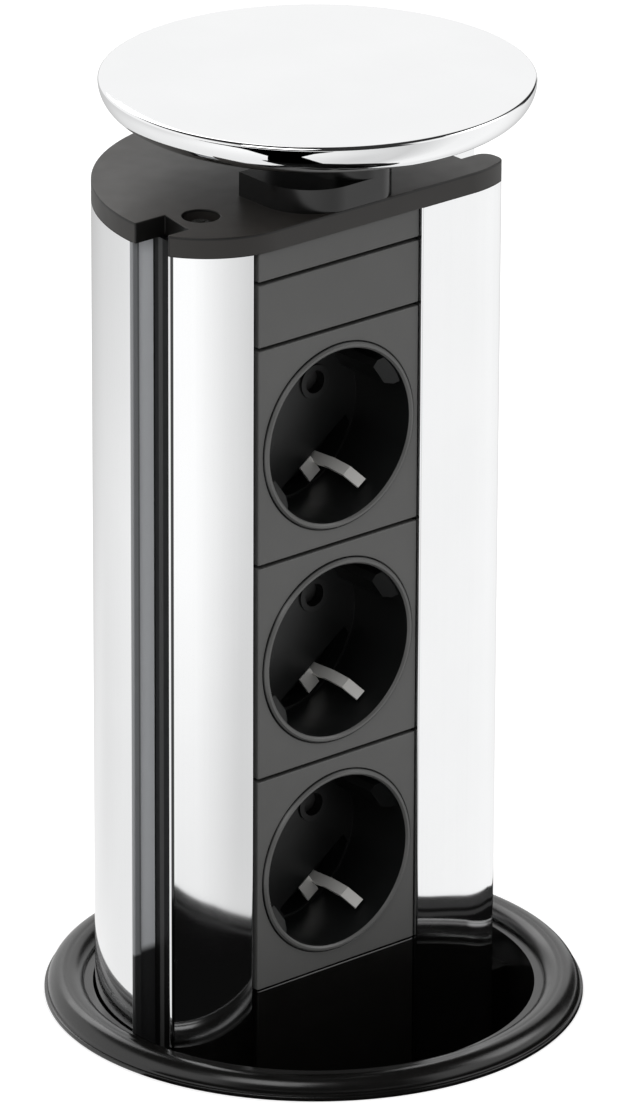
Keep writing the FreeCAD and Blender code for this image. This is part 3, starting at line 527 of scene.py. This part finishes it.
@dataclass
class Workshop:
    """Makes pieces: gives each mesh its finish and body. Angles are in degrees."""

    nodes: Mapping[str, Object]
    sharp: float = 32.0
    flat: float = 0.4
    weld: float = 1e-6
    bevel_steps: int = 2

    def __post_init__(self) -> None:
        """Make one material per finish."""
        self.materials = {finish: finish.value.material() for finish in Finish}

    def piece(self, name: str, mesh: BMesh, finish: Finish, body: str,
              replaced: Sequence[str], sharp: float) -> Object:
        """Turn a finished bmesh into a piece of the object.

        Args:
            name: The piece's name.
            mesh: Its mesh, in place; it is freed.
            finish: Its finish.
            body: The CAD body that it rides on.
            replaced: CAD nodes that it stands for.
            sharp: Angle in degrees above which an edge stays sharp.

        Returns:
            The piece.
        """
        made = new_object(name, mesh, self.materials[finish])
        faces = made.data.polygons
        faces.foreach_set("use_smooth", [True] * len(faces))
        made.data.set_sharp_from_angle(angle=math.radians(sharp))
        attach(made, body)
        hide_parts(*replaced)
        log.info("piece %s: %d faces", name, len(faces))
        return made

    def even(self, made: Object) -> None:
        """Keep the shading of a piece's flat faces even."""
        made.modifiers.new("even_faces", "WEIGHTED_NORMAL").keep_sharp = True

    def refine(self, finish: Finish, body: str, edge_mm: float, *nodes: str) -> None:
        """Copy CAD nodes as merged meshes with eased edges, and stand them in the nodes' place.

        Args:
            finish: Their finish.
            body: The CAD body that they ride on.
            edge_mm: Width of the eased edges.
            nodes: The CAD nodes.
        """
        for node in nodes:
            mesh = bmesh.new()
            mesh.from_mesh(self.nodes[node].data)
            bmesh.ops.remove_doubles(mesh, verts=mesh.verts, dist=self.weld)
            bmesh.ops.dissolve_limit(mesh, angle_limit=math.radians(self.flat), verts=mesh.verts,
                                     edges=mesh.edges, use_dissolve_boundaries=False)
            made = self.piece(node + "_finished", mesh, finish, body, [node], self.sharp)
            eased = made.modifiers.new("eased_edges", "BEVEL")
            eased.width = edge_mm * MM
            eased.segments = self.bevel_steps
            eased.limit_method = "ANGLE"
            eased.angle_limit = math.radians(self.sharp)
            self.even(made)

    def dress(self, finish: Finish, *nodes: str) -> None:
        """Give CAD nodes that stay their finish."""
        for node in nodes:
            materials = self.nodes[node].data.materials
            materials.clear()
            materials.append(self.materials[finish])
            log.info("dressed %s", node)


# Drawing of sections and walls

@dataclass
class Plane:
    """Plane to draw in: how two coordinates in millimetres lie in it, and its normal."""

    at: Callable[[float, float], Vector]
    normal: Vector


Point = Union[Vector, Span]


class Pen:
    """Draws a section or a wall: a run extrudes what the pen holds, a bend spins it.

    A point is a place in metres, or two coordinates in the pen's plane in millimetres.
    """

    def __init__(self, mesh: BMesh, start: Point, plane: Plane,
                 rise: Optional[Vector] = None) -> None:
        """Start at a point, or with an edge from it.

        Args:
            mesh: The mesh to draw in.
            start: First point.
            plane: The plane that it moves in.
            rise: The wall's height, or None to draw a section.
        """
        self.mesh = mesh
        self.plane = plane
        self.here = self._place(start)
        first = mesh.verts.new(self.here)
        self.held: list[BMVert] = [first]
        if rise is not None:
            second = mesh.verts.new(self.here + rise)
            mesh.edges.new((first, second))
            self.held.append(second)

    def _place(self, point: Point) -> Vector:
        """A point as a place in metres."""
        return point.copy() if isinstance(point, Vector) else self.plane.at(*point)

    def _edges(self) -> list[BMEdge]:
        """The held edge of a wall, or nothing."""
        return [self.mesh.edges.get(self.held)] if len(self.held) > 1 else []

    def run(self, *points: Point) -> None:
        """Go straight to each point in turn.

        Args:
            points: The points.
        """
        for place in map(self._place, points):
            if self._edges():
                made = bmesh.ops.extrude_edge_only(self.mesh, edges=self._edges())["geom"]
            else:
                made = bmesh.ops.extrude_vert_indiv(self.mesh, verts=self.held)["verts"]
            new = [item for item in made if isinstance(item, BMVert)]
            bmesh.ops.translate(self.mesh, verts=new, vec=place - self.here)
            self.held = new
            self.here = place

    def bend(self, middle: Point, end: Point, steps: int) -> None:
        """Follow the arc from here through a middle point to an end.

        Args:
            middle: Point on the arc.
            end: The arc's end.
            steps: Number of segments.
        """
        middle, end = self._place(middle), self._place(end)
        centre = self._centre(middle, end)
        half = middle - centre
        sweep = self._turn(self.here - centre, half) + self._turn(half, end - centre)
        spun = bmesh.ops.spin(self.mesh, geom=self.held + self._edges(), cent=centre,
                              axis=self.plane.normal, dvec=Vector(), angle=sweep, steps=steps,
                              use_merge=False, use_normal_flip=False, use_duplicate=False)
        self.held = [item for item in spun["geom_last"] if isinstance(item, BMVert)]
        self.here = end

    def _turn(self, a: Vector, b: Vector) -> float:
        """Signed angle from one direction to another about the axis."""
        return math.atan2(a.cross(b).dot(self.plane.normal), a.dot(b))

    def _centre(self, middle: Vector, end: Vector) -> Vector:
        """Centre of the circle through here, a middle point and an end.

        Args:
            middle: Second point.
            end: Third point.

        Returns:
            The centre.
        """
        a = middle - self.here
        b = end - self.here
        normal = a.cross(b)
        out = b.length_squared * normal.cross(a) + a.length_squared * b.cross(normal)
        return self.here + out / (2 * normal.length_squared)


def section(radius: float, height: float) -> Vector:
    """Point of a turned section, from millimetres."""
    return mm(radius, 0.0, height)


SECTION = Plane(section, Vector((0, -1, 0)))


def lathe(mesh: BMesh, steps: int) -> None:
    """Spin a drawn section about the tower's axis and close it.

    Args:
        mesh: Mesh that holds only the section.
        steps: Segments of the full turn.
    """
    bmesh.ops.remove_doubles(mesh, verts=mesh.verts, dist=WELD)
    bmesh.ops.spin(mesh, geom=mesh.verts[:] + mesh.edges[:], cent=Vector(), axis=UP,
                   dvec=Vector(), angle=math.tau, steps=steps, use_merge=True,
                   use_normal_flip=False, use_duplicate=False)
    bmesh.ops.remove_doubles(mesh, verts=mesh.verts, dist=WELD)
    bmesh.ops.recalc_face_normals(mesh, faces=mesh.faces)


# Sub-assemblies

@dataclass
class Lid:
    """Chromed lens-shaped cover with a black moulded core."""

    radius: float = 47.2
    rim: float = 215.0
    dome: float = 1.6
    rim_round: float = 0.75
    side_inset: float = 6.5
    side_height: float = 7.5
    skin: float = 1.5
    return_radius: float = 37.0
    lip: float = 0.25
    lip_middle: float = 0.29
    core_gap: float = 0.1
    core_rise: float = 0.3
    core_edge: float = 0.3
    core_thickness: float = 2.0
    neck_radius: float = 11.15
    neck_wall: float = 2.2
    neck_floor: float = 2.6
    seat: float = 210.0
    sharp: float = 40.0

    def dome_middle(self, edge: Vector, top: float) -> Vector:
        """Middle of the dome's arc.

        Args:
            edge: Where the dome ends, in metres.
            top: Height of its top, in millimetres.

        Returns:
            A point half-way out.
        """
        rise = top * MM - edge.z
        sphere = (edge.x ** 2 + rise ** 2) / (2 * rise)
        out = edge.x / 2
        return Vector((out, 0, top * MM - sphere + math.sqrt(sphere ** 2 - out ** 2)))

    def cap(self) -> BMesh:
        """Model the chromed shell.

        Returns:
            Its mesh.
        """
        mesh = bmesh.new()
        top = self.rim + self.dome
        edge = section(self.radius - self.rim_round, self.rim)
        bend = self.rim_round * (1 - HALF_WAY)
        foot = self.radius - self.side_inset
        under = self.rim - self.side_height
        home = self.return_radius
        middle = self.lip * self.lip_middle
        pen = Pen(mesh, (0, top), SECTION)
        pen.bend(self.dome_middle(edge, top), edge, steps=24)
        pen.bend((self.radius - bend, self.rim - bend), (self.radius, self.rim - self.rim_round),
                 steps=6)
        pen.bend((foot + self.side_inset * HALF_WAY, self.rim - self.side_height * HALF_WAY),
                 (foot, under), steps=20)
        pen.run((home + self.lip, under))
        pen.bend((home + middle, under + middle), (home, under + self.lip), steps=4)
        pen.run((home, under + self.skin), (foot, under + self.skin))
        inner = section(self.radius - self.skin / 2, self.rim - self.skin)
        out = (self.radius - self.skin / 2 - foot) * HALF_WAY
        pen.bend((foot + out, self.rim - (self.side_height - self.skin) * HALF_WAY), inner, steps=10)
        pen.bend(self.dome_middle(inner, top - self.skin), (0, top - self.skin), steps=12)
        lathe(mesh, steps=240)
        return mesh

    def core(self) -> BMesh:
        """Model the black core's visible underside with its seat for the neck.

        Returns:
            Its mesh.
        """
        mesh = bmesh.new()
        under = self.rim - self.side_height + self.core_rise
        over = under + self.core_thickness
        outer = self.return_radius - self.core_gap
        inner = self.neck_radius
        wall = inner + self.neck_wall
        edge = self.core_edge
        top = self.seat + self.neck_floor
        pen = Pen(mesh, (0, self.seat), SECTION)
        pen.run((inner, self.seat), (inner, under + edge), (inner + edge, under),
                (outer - edge, under), (outer, under + edge), (outer, over), (wall, over),
                (wall, top), (0, top))
        lathe(mesh, steps=160)
        return mesh

    def build(self, shop: Workshop) -> None:
        """Build and dress the lid.

        Args:
            shop: Where pieces are made.
        """
        shop.piece("lid_shell", self.cap(), Finish.CHROME, "tower", ["lid_cap"], self.sharp)
        shop.piece("lid_underside", self.core(), Finish.BLACK, "tower", ["lid_core"], self.sharp)


@dataclass
class Column:
    """Bright extruded column with rounded wings, a slot in each side and an open channel."""

    radius: float = 48.7
    front: float = 19.9
    wing: float = 24.0
    wing_start: float = 27.5
    wall: float = 2.2
    slot_rear: float = 3.6
    left_front: float = -7.6
    left_floor: float = -42.0
    right_front: float = -11.2
    right_floor: float = 31.5
    right_tip: float = 38.5
    tip_flat: float = 0.25
    lip: float = 1.4
    undercut: float = 0.7
    edge: float = 0.4
    edge_middle: float = 0.12
    tip_middle: float = 0.293
    bead: float = 0.85
    bead_groove: float = 0.45
    bead_depth: float = 0.3
    bead_slope: float = 0.1
    corner_ahead: float = 3.0
    middle_shift: float = 2.0
    strip_left: float = -33.6
    strip_right: float = 12.9
    channel: float = 11.0
    bottom: float = -98.3
    top: float = 187.0
    plate_edge: float = 0.35
    neck_edge: float = 0.3
    foot_edge: float = 0.25
    sharp: float = 30.0

    def wing_y(self, x: float, inset: float = 0.0) -> float:
        """Where a wing's front, or a surface set in from it, lies in y at a given x."""
        along = max(abs(x) - self.wing_start, 0.0)
        return self.wing - self.front - math.sqrt((self.wing - inset) ** 2 - along ** 2)

    def wing_x(self, y: float, inset: float = 0.0) -> float:
        """How far from the middle plane a wing's front, or a surface set in, has a given y."""
        rise = self.wing - self.front - y
        return self.wing_start + math.sqrt((self.wing - inset) ** 2 - rise ** 2)

    def rim_x(self, y: float, inset: float = 0.0) -> float:
        """Half width of the round back at a given y."""
        return math.sqrt((self.radius - inset) ** 2 - y ** 2)

    def flat(self, x: float, y: float) -> Vector:
        """Point on the bottom of the column's wall."""
        return mm(x, y, self.bottom)

    def corner(self, pen: Pen, x: float, y: float, to_x: float, to_y: float) -> None:
        """Round a corner on the way to the next point.

        Args:
            pen: The pen, on its way to the corner.
            x: The corner's x.
            y: The corner's y.
            to_x: Next point's x.
            to_y: Next point's y.
        """
        here = pen.here / MM
        back = Vector((here.x - x, here.y - y)).normalized() * self.edge
        ahead = Vector((to_x - x, to_y - y)).normalized() * self.edge
        pen.run((x + back.x, y + back.y))
        mid = Vector((x, y)) + (back + ahead) * (1 - HALF_WAY)
        pen.bend((mid.x, mid.y), (x + ahead.x, y + ahead.y), steps=4)

    def left_wing(self, pen: Pen) -> None:
        """Draw from the channel's left wall round the left wing to the slot.

        Args:
            pen: The pen, at the back of the channel's left wall.
        """
        x = self.strip_left
        ahead = x - self.corner_ahead
        self.corner(pen, x, self.wing_y(x), ahead, self.wing_y(ahead))
        end = self.left_front - self.bead
        start = end - self.bead_groove
        start_x, end_x = -self.wing_x(start), -self.wing_x(end)
        mid_x = (x + start_x) / 2 - self.middle_shift
        pen.bend((mid_x, self.wing_y(mid_x)), (start_x, start), steps=32)
        pen.run((start_x + self.bead_depth, start + self.bead_slope),
                (end_x + self.bead_depth, end - self.bead_slope), (end_x, end))
        slot_x = -self.rim_x(self.left_front)
        inside = slot_x + self.lip
        edge_y = self.left_front - self.edge
        pen.run((-self.rim_x(edge_y), edge_y))
        pen.bend((slot_x + self.edge_middle, self.left_front - self.edge_middle),
                 (slot_x + self.edge, self.left_front), steps=4)
        front = self.left_front - self.undercut
        rear = self.slot_rear + self.undercut
        pen.run((inside, self.left_front), (inside, front), (self.left_floor, front),
                (self.left_floor, rear), (inside, rear), (inside, self.slot_rear))

    def round_back(self, pen: Pen) -> None:
        """Draw from the left slot round the back to the right slot and its wing.

        Args:
            pen: The pen, at the rear lip of the left slot.
        """
        rear = self.slot_rear
        wide = self.rim_x(rear)
        start = self.rim_x(rear + self.edge)
        middle_x, middle_y = wide - self.edge_middle, rear + self.edge_middle
        pen.run((self.edge - wide, rear))
        pen.bend((-middle_x, middle_y), (-start, rear + self.edge), steps=4)
        pen.bend((0, self.radius), (start, rear + self.edge), steps=132)
        pen.bend((middle_x, middle_y), (wide - self.edge, rear), steps=4)
        pen.run((self.right_floor, rear), (self.right_floor, self.right_front))
        self.right_wing(pen)

    def right_wing(self, pen: Pen) -> None:
        """Draw round the right wing's tip to the flat front.

        Args:
            pen: The pen, at the front of the right slot's floor.
        """
        tip = self.right_tip
        size = (self.right_front - self.wing_y(tip) - self.tip_flat) / 2
        inset = size * self.tip_middle
        pen.run((tip - size, self.right_front))
        pen.bend((tip - inset, self.right_front - inset), (tip, self.right_front - size), steps=10)
        middle = Vector((self.wing_start, self.wing - self.front))
        along = tip - size - middle.x
        centre = Vector((tip - size, middle.y - math.sqrt((self.wing - size) ** 2 - along ** 2)))
        ahead = (centre - middle).normalized()
        touch = middle + ahead * self.wing
        half = centre + (Vector((1, 0)) + ahead).normalized() * size
        pen.run((tip, centre.y))
        pen.bend((half.x, half.y), (touch.x, touch.y), steps=10)
        low_x = (touch.x + self.wing_start) / 2
        pen.bend((low_x, self.wing_y(low_x)), (self.wing_start, -self.front), steps=16)

    def inner_wall(self, pen: Pen) -> None:
        """Draw back along the inside of the wall to the channel's left wall.

        Args:
            pen: The pen, at the back of the channel's right wall.
        """
        wall = self.wall
        back = -self.front + self.channel
        right = self.strip_right + wall
        pen.run((right, back), (right, -self.front + wall), (self.wing_start, -self.front + wall))
        front = self.right_front - wall
        end = self.right_tip - wall
        mid = (self.wing_start + end) / 2
        pen.bend((mid, self.wing_y(mid, wall)), (end, self.wing_y(end, wall)), steps=10)
        pen.run((end, front))
        floor = self.right_floor - wall
        rear = self.slot_rear + wall
        pen.run((floor, front), (floor, rear), (self.rim_x(rear, wall), rear))
        rear += self.undercut
        pen.bend((0, self.radius - wall), (-self.rim_x(rear, wall), rear), steps=96)
        floor = self.left_floor + wall
        front = self.left_front - self.undercut - wall
        pen.run((floor, rear), (floor, front), (-self.wing_x(front, wall), front))
        left = self.strip_left - wall
        mid = (left - self.wing_x(front, wall)) / 2
        pen.bend((mid, self.wing_y(mid, wall)), (left, self.wing_y(left, wall)), steps=8)
        pen.run((left, back), (self.strip_left, back))

    def model(self) -> BMesh:
        """Model the column.

        Returns:
            Its mesh.
        """
        mesh = bmesh.new()
        back = -self.front + self.channel
        plane = Plane(self.flat, UP)
        pen = Pen(mesh, (self.strip_left, back), plane, mm(0, 0, self.top - self.bottom))
        self.left_wing(pen)
        self.round_back(pen)
        self.corner(pen, self.strip_right, -self.front, self.strip_right, back)
        pen.run((self.strip_right, back))
        self.inner_wall(pen)
        bmesh.ops.remove_doubles(mesh, verts=mesh.verts, dist=WELD)
        bmesh.ops.holes_fill(mesh, edges=mesh.edges, sides=0)
        bmesh.ops.recalc_face_normals(mesh, faces=mesh.faces)
        return mesh

    def build(self, shop: Workshop) -> None:
        """Build and dress the column and its plate.

        Args:
            shop: Where pieces are made.
        """
        shop.even(shop.piece("column", self.model(), Finish.PROFILE, "tower", ["tower_profile"],
                             self.sharp))
        shop.refine(Finish.PLATE, "tower", self.plate_edge, "top_plate")
        shop.refine(Finish.BLACK, "tower", self.neck_edge, "neck")
        shop.refine(Finish.BLACK, "tower", self.foot_edge, "bottom_cap", "cable_gland",
                    "gland_locknut", "gland_nut")
        shop.dress(Finish.DARK_STEEL, "top_plate_screws", "neck_screws")
        shop.dress(Finish.STEEL, "bottom_cap_screws")


@dataclass
class Sockets:
    """Strip of three sockets with its plain covers, and what is behind them."""

    count: int = 3
    edge: float = 0.2
    insert_edge: float = 0.15
    clip_edge: float = 0.08

    def each(self, part: str) -> list[str]:
        """Names of a part in every socket, from the top down."""
        return ["%s_%d" % (part, number) for number in range(1, self.count + 1)]

    def build(self, shop: Workshop) -> None:
        """Build and dress the strip.

        Args:
            shop: Where pieces are made.
        """
        shop.refine(Finish.STRIP, "tower", self.edge, "top_filler", "blank_cover",
                    *self.each("socket_frame"))
        shop.refine(Finish.BLACK, "tower", self.edge, "lower_cover")
        shop.refine(Finish.WELL, "tower", self.insert_edge, *self.each("socket_insert"))
        shop.refine(Finish.STEEL, "tower", self.clip_edge, *self.each("earth_contact"))
        shop.dress(Finish.WELL, *self.each("socket_base"))
        shop.dress(Finish.BRASS, "live_busbar", "neutral_busbar", "earth_busbar",
                   *self.each("pin_contacts"))
        shop.dress(Finish.SHUTTER, "terminal_block", *self.each("shutter"))
        shop.dress(Finish.STEEL, "terminal_screws", *self.each("shutter_spring"))


@dataclass
class Flange:
    """Black trim ring on the worktop and the guide sleeve below it."""

    radius: float = 60.0
    opening: float = 51.2
    foot_bevel: float = 0.15
    step_height: float = 1.0
    step: float = 0.7
    step_round: float = 0.2
    step_middle: float = 0.06
    step_slope: Span = (0.1, 0.04)
    crest_radius: float = 55.0
    crest: float = 4.6
    outer_bulge: Span = (0.95, -0.75)
    inner_bulge: Span = (-0.35, -0.5)
    lip: float = 2.7
    seat: float = 2.05
    skirt: float = 57.0
    edge: float = 0.3
    sharp: float = 40.0

    def bulge(self, radius: float, shift: Span) -> Vector:
        """Middle of the rolled arc between the crest and a radius, shifted out and down."""
        out, rise = shift
        return section((radius + self.crest_radius) / 2 + out, self.crest + rise)

    def ring(self) -> BMesh:
        """Model the trim ring.

        Returns:
            Its mesh.
        """
        mesh = bmesh.new()
        rim, height = self.radius, self.step_height
        step = rim - self.step
        out, rise = self.step_slope
        pen = Pen(mesh, (self.skirt, 0), SECTION)
        pen.run((rim - self.foot_bevel, 0), (rim, self.foot_bevel), (rim, height - self.step_round))
        pen.bend((rim - self.step_middle, height - self.step_middle), (rim - self.step_round, height),
                 steps=3)
        pen.run((step + out, height + rise), (step, height + self.step_round))
        pen.bend(self.bulge(step, self.outer_bulge), (self.crest_radius, self.crest), steps=20)
        pen.bend(self.bulge(self.opening, self.inner_bulge), (self.opening, self.lip), steps=16)
        pen.run((self.opening, self.seat), (self.skirt, self.seat), (self.skirt, 0))
        lathe(mesh, steps=240)
        return mesh

    def build(self, shop: Workshop) -> None:
        """Build and dress the flange.

        Args:
            shop: Where pieces are made.
        """
        shop.piece("trim_ring", self.ring(), Finish.BLACK, "housing", ["flange_ring"], self.sharp)
        shop.refine(Finish.BLACK, "housing", self.edge, "guide_sleeve", "clamp_nut",
                    "clamp_washer", "guide_key_left", "guide_key_right")
        shop.dress(Finish.STEEL, "guide_key_screws")
        shop.dress(Finish.FELT, "glide_pads")
        shop.dress(Finish.RUBBER, "flange_seal")


# Studio

@dataclass(frozen=True)
class Lamp:
    """Soft square lamp; its place and size are in metres."""

    name: str
    place: Vector
    size: float
    watts: float

    def hang(self, aim: Vector) -> None:
        """Put the lamp in the scene.

        Args:
            aim: The place that it faces.
        """
        data = bpy.data.lights.new(self.name, "AREA")
        data.shape = "SQUARE"
        data.size = self.size
        data.energy = self.watts
        made = linked(self.name, data)
        made.location = self.place
        made.rotation_mode = "QUATERNION"
        made.rotation_quaternion = (aim - self.place).to_track_quat("-Z", "Y")


@dataclass
class Studio:
    """Plain pale floor, soft light and the photograph's camera.

    Mirrored, the floor is graded by azimuth in degrees and by reach in metres, with painted shade
    near the tower's left side. Round the tower it carries a painted reflection of the ring: a black
    field with a grey band and line, in millimetres.
    """

    camera_place: Vector = Vector((-1.24362, -1.45695, 0.88328))
    yaw: float = 0.701005
    pitch: float = 0.384632
    roll: float = 0.00209
    focal_px: float = 9451.1
    centre_px: Span = (266.77, 537.25)
    image_px: tuple[int, int] = (629, 1119)
    sensor_mm: float = 36.0
    view_depth: float = 50.0
    floor_hole: float = 58.0
    floor_radius: float = 6000.0
    floor_pale: float = 0.8
    floor_lift: float = 0.45
    floor_shine: float = 1.1
    floor_tones: tuple[Span, ...] = (
        (-180, 1.0), (-145, 1.0), (-110, 0.77), (-80, 0.62), (-50, 0.9), (-20, 0.93),
        (5, 0.85), (50, 0.56), (95, 0.87), (125, 0.98), (180, 1.0))
    rear_turn: Span = (-0.2, 0.7)
    rear_reach: Span = (0.05, 0.6)
    rear_fade: float = 0.25
    # Painted shade near the tower's left side, seen only in reflections.
    near_reach: Span = (0.1, 0.38)
    near_side: Span = (-0.02, 0.06)
    near_fade: float = 0.17
    # Painted reflection of the ring: the field, band and line below.
    field_reach: float = 200.0
    field_edge: tuple[Span, ...] = (
        (-169.5, 0), (-169, 143), (-135, 120), (-105, 95), (-50, 79), (-20, 85), (0, 83),
        (40, 78), (41, 0))
    field_soft: float = 0.4
    field_light: float = 0.004
    band_width: float = 6.7
    band_soft: float = 0.5
    band_light: float = 0.03
    line_edges: Span = (8.8, 11.1)
    flag_height: float = 200.0
    flag_outline: tuple[Span, ...] = (
        (-92, 4), (-79, -21), (-70, -27), (-49, -32), (-42, -28), (-31, -39), (-43, -42),
        (-51, -73), (-60, -95), (-125, -30))
    ambient: float = 0.62
    front: Span = (-0.649, -0.76)
    front_dark: Span = (0.7, 0.88)
    aside_dark: Span = (0.3, 0.4)
    aside_light: Span = (0.72, 0.82)
    above_dark: Span = (0.56, 0.68)
    darkness: float = 0.97
    least: float = 0.0001
    aim: Vector = Vector((0, 0, 0.1))
    lamps: tuple[Lamp, ...] = (
        Lamp("key", Vector((-1.3, -0.6, 1.7)), 1.1, 12),
        Lamp("fill", Vector((1.6, -0.9, 1.3)), 1.1, 8),
        Lamp("back", Vector((0.6, 1.6, 1.5)), 1.0, 6))

    def camera(self) -> None:
        """Set up the camera at the photograph's viewing angle."""
        ahead = Vector((math.sin(self.yaw) * math.cos(self.pitch),
                        math.cos(self.yaw) * math.cos(self.pitch), -math.sin(self.pitch)))
        right = ahead.cross(UP).normalized()
        up = right.cross(ahead)
        c, s = math.cos(self.roll), math.sin(self.roll)
        right, up = right * c + up * s, up * c - right * s
        data = bpy.data.cameras.new("camera")
        long_side = max(self.image_px)
        data.sensor_width = self.sensor_mm
        data.lens = self.focal_px * self.sensor_mm / long_side
        data.shift_x = (self.image_px[0] / 2 - self.centre_px[0]) / long_side
        data.shift_y = -(self.image_px[1] / 2 - self.centre_px[1]) / long_side
        data.clip_end = self.view_depth
        made = linked("camera", data)
        turn = Matrix((right, up, -ahead)).transposed().to_4x4()
        made.matrix_world = Matrix.Translation(self.camera_place) @ turn
        bpy.context.scene.camera = made

    def floor(self) -> None:
        """Lay the pale worktop around the flange's opening."""
        mesh = bmesh.new()
        pen = Pen(mesh, (self.floor_hole, 0), SECTION)
        pen.run((self.floor_radius, 0))
        lathe(mesh, steps=96)
        if mesh.faces[:][0].normal.z < 0:
            bmesh.ops.reverse_faces(mesh, faces=mesh.faces)
        made = new_object("floor", mesh, self.floor_material())

    def flag(self) -> None:
        """Hold a small black card beside the lid, for its side alone to mirror."""
        mesh = bmesh.new()
        first, *others = self.flag_outline
        pen = Pen(mesh, first, Plane(lambda x, y: mm(x, y, self.flag_height), UP))
        pen.run(*others, first)
        bmesh.ops.remove_doubles(mesh, verts=mesh.verts, dist=WELD)
        bmesh.ops.edgeloop_fill(mesh, edges=mesh.edges)
        black, graph = new_material("flag_black")
        graph.finish(graph.glow(0.0))
        made = new_object("flag", mesh, black)
        for kind in ("camera", "diffuse", "shadow", "transmission"):
            setattr(made, "visible_" + kind, False)

    def round_tower(self, graph: Graph, azimuth: Level, marks: Sequence[Span],
                    top: float = 1.0) -> Level:
        """Share of a top value round the tower, from azimuths in degrees with their values."""
        stops = [(degrees / 360 + 0.5, value / top) for degrees, value in marks]
        return graph.ramp(stops, azimuth * (1 / math.tau) + 0.5)

    def mirrored_floor(self, graph: Graph) -> Level:
        """Brightness of the floor as the bright metal mirrors it, by direction and distance, with
        painted shade near the tower and a painted reflection of the ring round it.

        Args:
            graph: The floor's nodes.

        Returns:
            The brightness.
        """
        x, y, _ = graph.axes()
        azimuth = y.angle_with(x)
        distance = (x * x + y * y).power(0.5)
        rear = (y * distance.at_least(self.least).power(-1.0)).between(*self.rear_turn)
        rear = rear * distance.between(*self.rear_reach) * self.rear_fade
        # Painted shade on the floor near the tower's left side, seen only in reflections.
        near_shade = (1 - distance.between(*self.near_reach)) * (x * -1).between(*self.near_side)
        fading = 1 - rear - near_shade * self.near_fade
        light = self.round_tower(graph, azimuth, self.floor_tones) * fading * self.floor_shine
        # Painted reflection of the ring round the tower: a black field for its dark inside, a grey
        # band for its crest and a line for its inner lip.
        edge = self.round_tower(graph, azimuth, self.field_edge, self.field_reach)
        inside = edge * (self.field_reach * MM) - distance
        ring_reflection = inside.past(0.0, self.field_soft)
        grey = 1 - inside.past(self.band_width, self.band_soft)
        grey = grey + inside.band(self.line_edges, self.field_soft)
        return light * (1 - ring_reflection) + ring_reflection * (grey * self.band_light + self.field_light)

    def floor_material(self) -> Material:
        """Build the floor's material: pale, lifted to white for the camera, graded in metal.

        Returns:
            The material.
        """
        made, graph = new_material("pale_floor")
        pale = graph.add("ShaderNodeBsdfDiffuse", inputs={"Color": (self.floor_pale,) * 3})
        lifted = graph.glow(graph.rays("Camera", "Transmission") * self.floor_lift)
        both = graph.add("ShaderNodeAddShader", inputs={0: pale.outputs[0], 1: lifted})
        mixed = graph.add("ShaderNodeMixShader", inputs={
            0: graph.rays("Glossy"), 1: both.outputs[0],
            2: graph.glow(self.mirrored_floor(graph))})
        graph.finish(mixed.outputs[0])
        return made

    def world(self) -> None:
        """Build the surroundings: white, but mirrored dark in front, above and at one side."""
        world = bpy.data.worlds.new("studio")
        bpy.context.scene.world = world
        world.use_nodes = True
        graph = Graph(world.node_tree)
        seen = graph.rays("Camera", "Transmission")
        mirrored = graph.rays("Glossy")
        direction = graph.add("ShaderNodeTexCoord").outputs["Generated"]
        split = graph.add("ShaderNodeSeparateXYZ", inputs={0: direction})
        x, y, up = (Level(graph, output) for output in split.outputs)
        level = (x * x + y * y).at_least(self.least).power(-0.5)
        front_x, front_y = self.front
        ahead = (x * front_x + y * front_y) * level
        right = (x * -front_y + y * front_x) * level
        aside = right.between(*self.aside_dark) * (1 - right.between(*self.aside_light))
        dark = ahead.between(*self.front_dark).at_least(up.between(*self.above_dark))
        surround = 1 - dark.at_least(aside) * self.darkness
        strength = seen + (1 - seen) * (mirrored * surround + (1 - mirrored) * self.ambient)
        back = graph.add("ShaderNodeBackground", inputs={"Color": (1, 1, 1), "Strength": strength})
        graph.add("ShaderNodeOutputWorld", inputs={0: back.outputs[0]})

    def build(self) -> None:
        """Set up the studio."""
        self.camera()
        self.floor()
        self.flag()
        self.world()
        for lamp in self.lamps:
            lamp.hang(self.aim)
        bpy.context.scene.view_settings.view_transform = "Standard"


def main() -> None:
    """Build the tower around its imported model."""
    logging.basicConfig(level=logging.INFO, format="%(message)s")
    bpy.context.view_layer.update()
    shop = Workshop(frame["nodes"])
    Studio().build()
    for assembly in (Lid(), Column(), Sockets(), Flange()):
        assembly.build(shop)
        log.info("built %s", type(assembly).__name__)


if __name__ == "__main__":
    main()
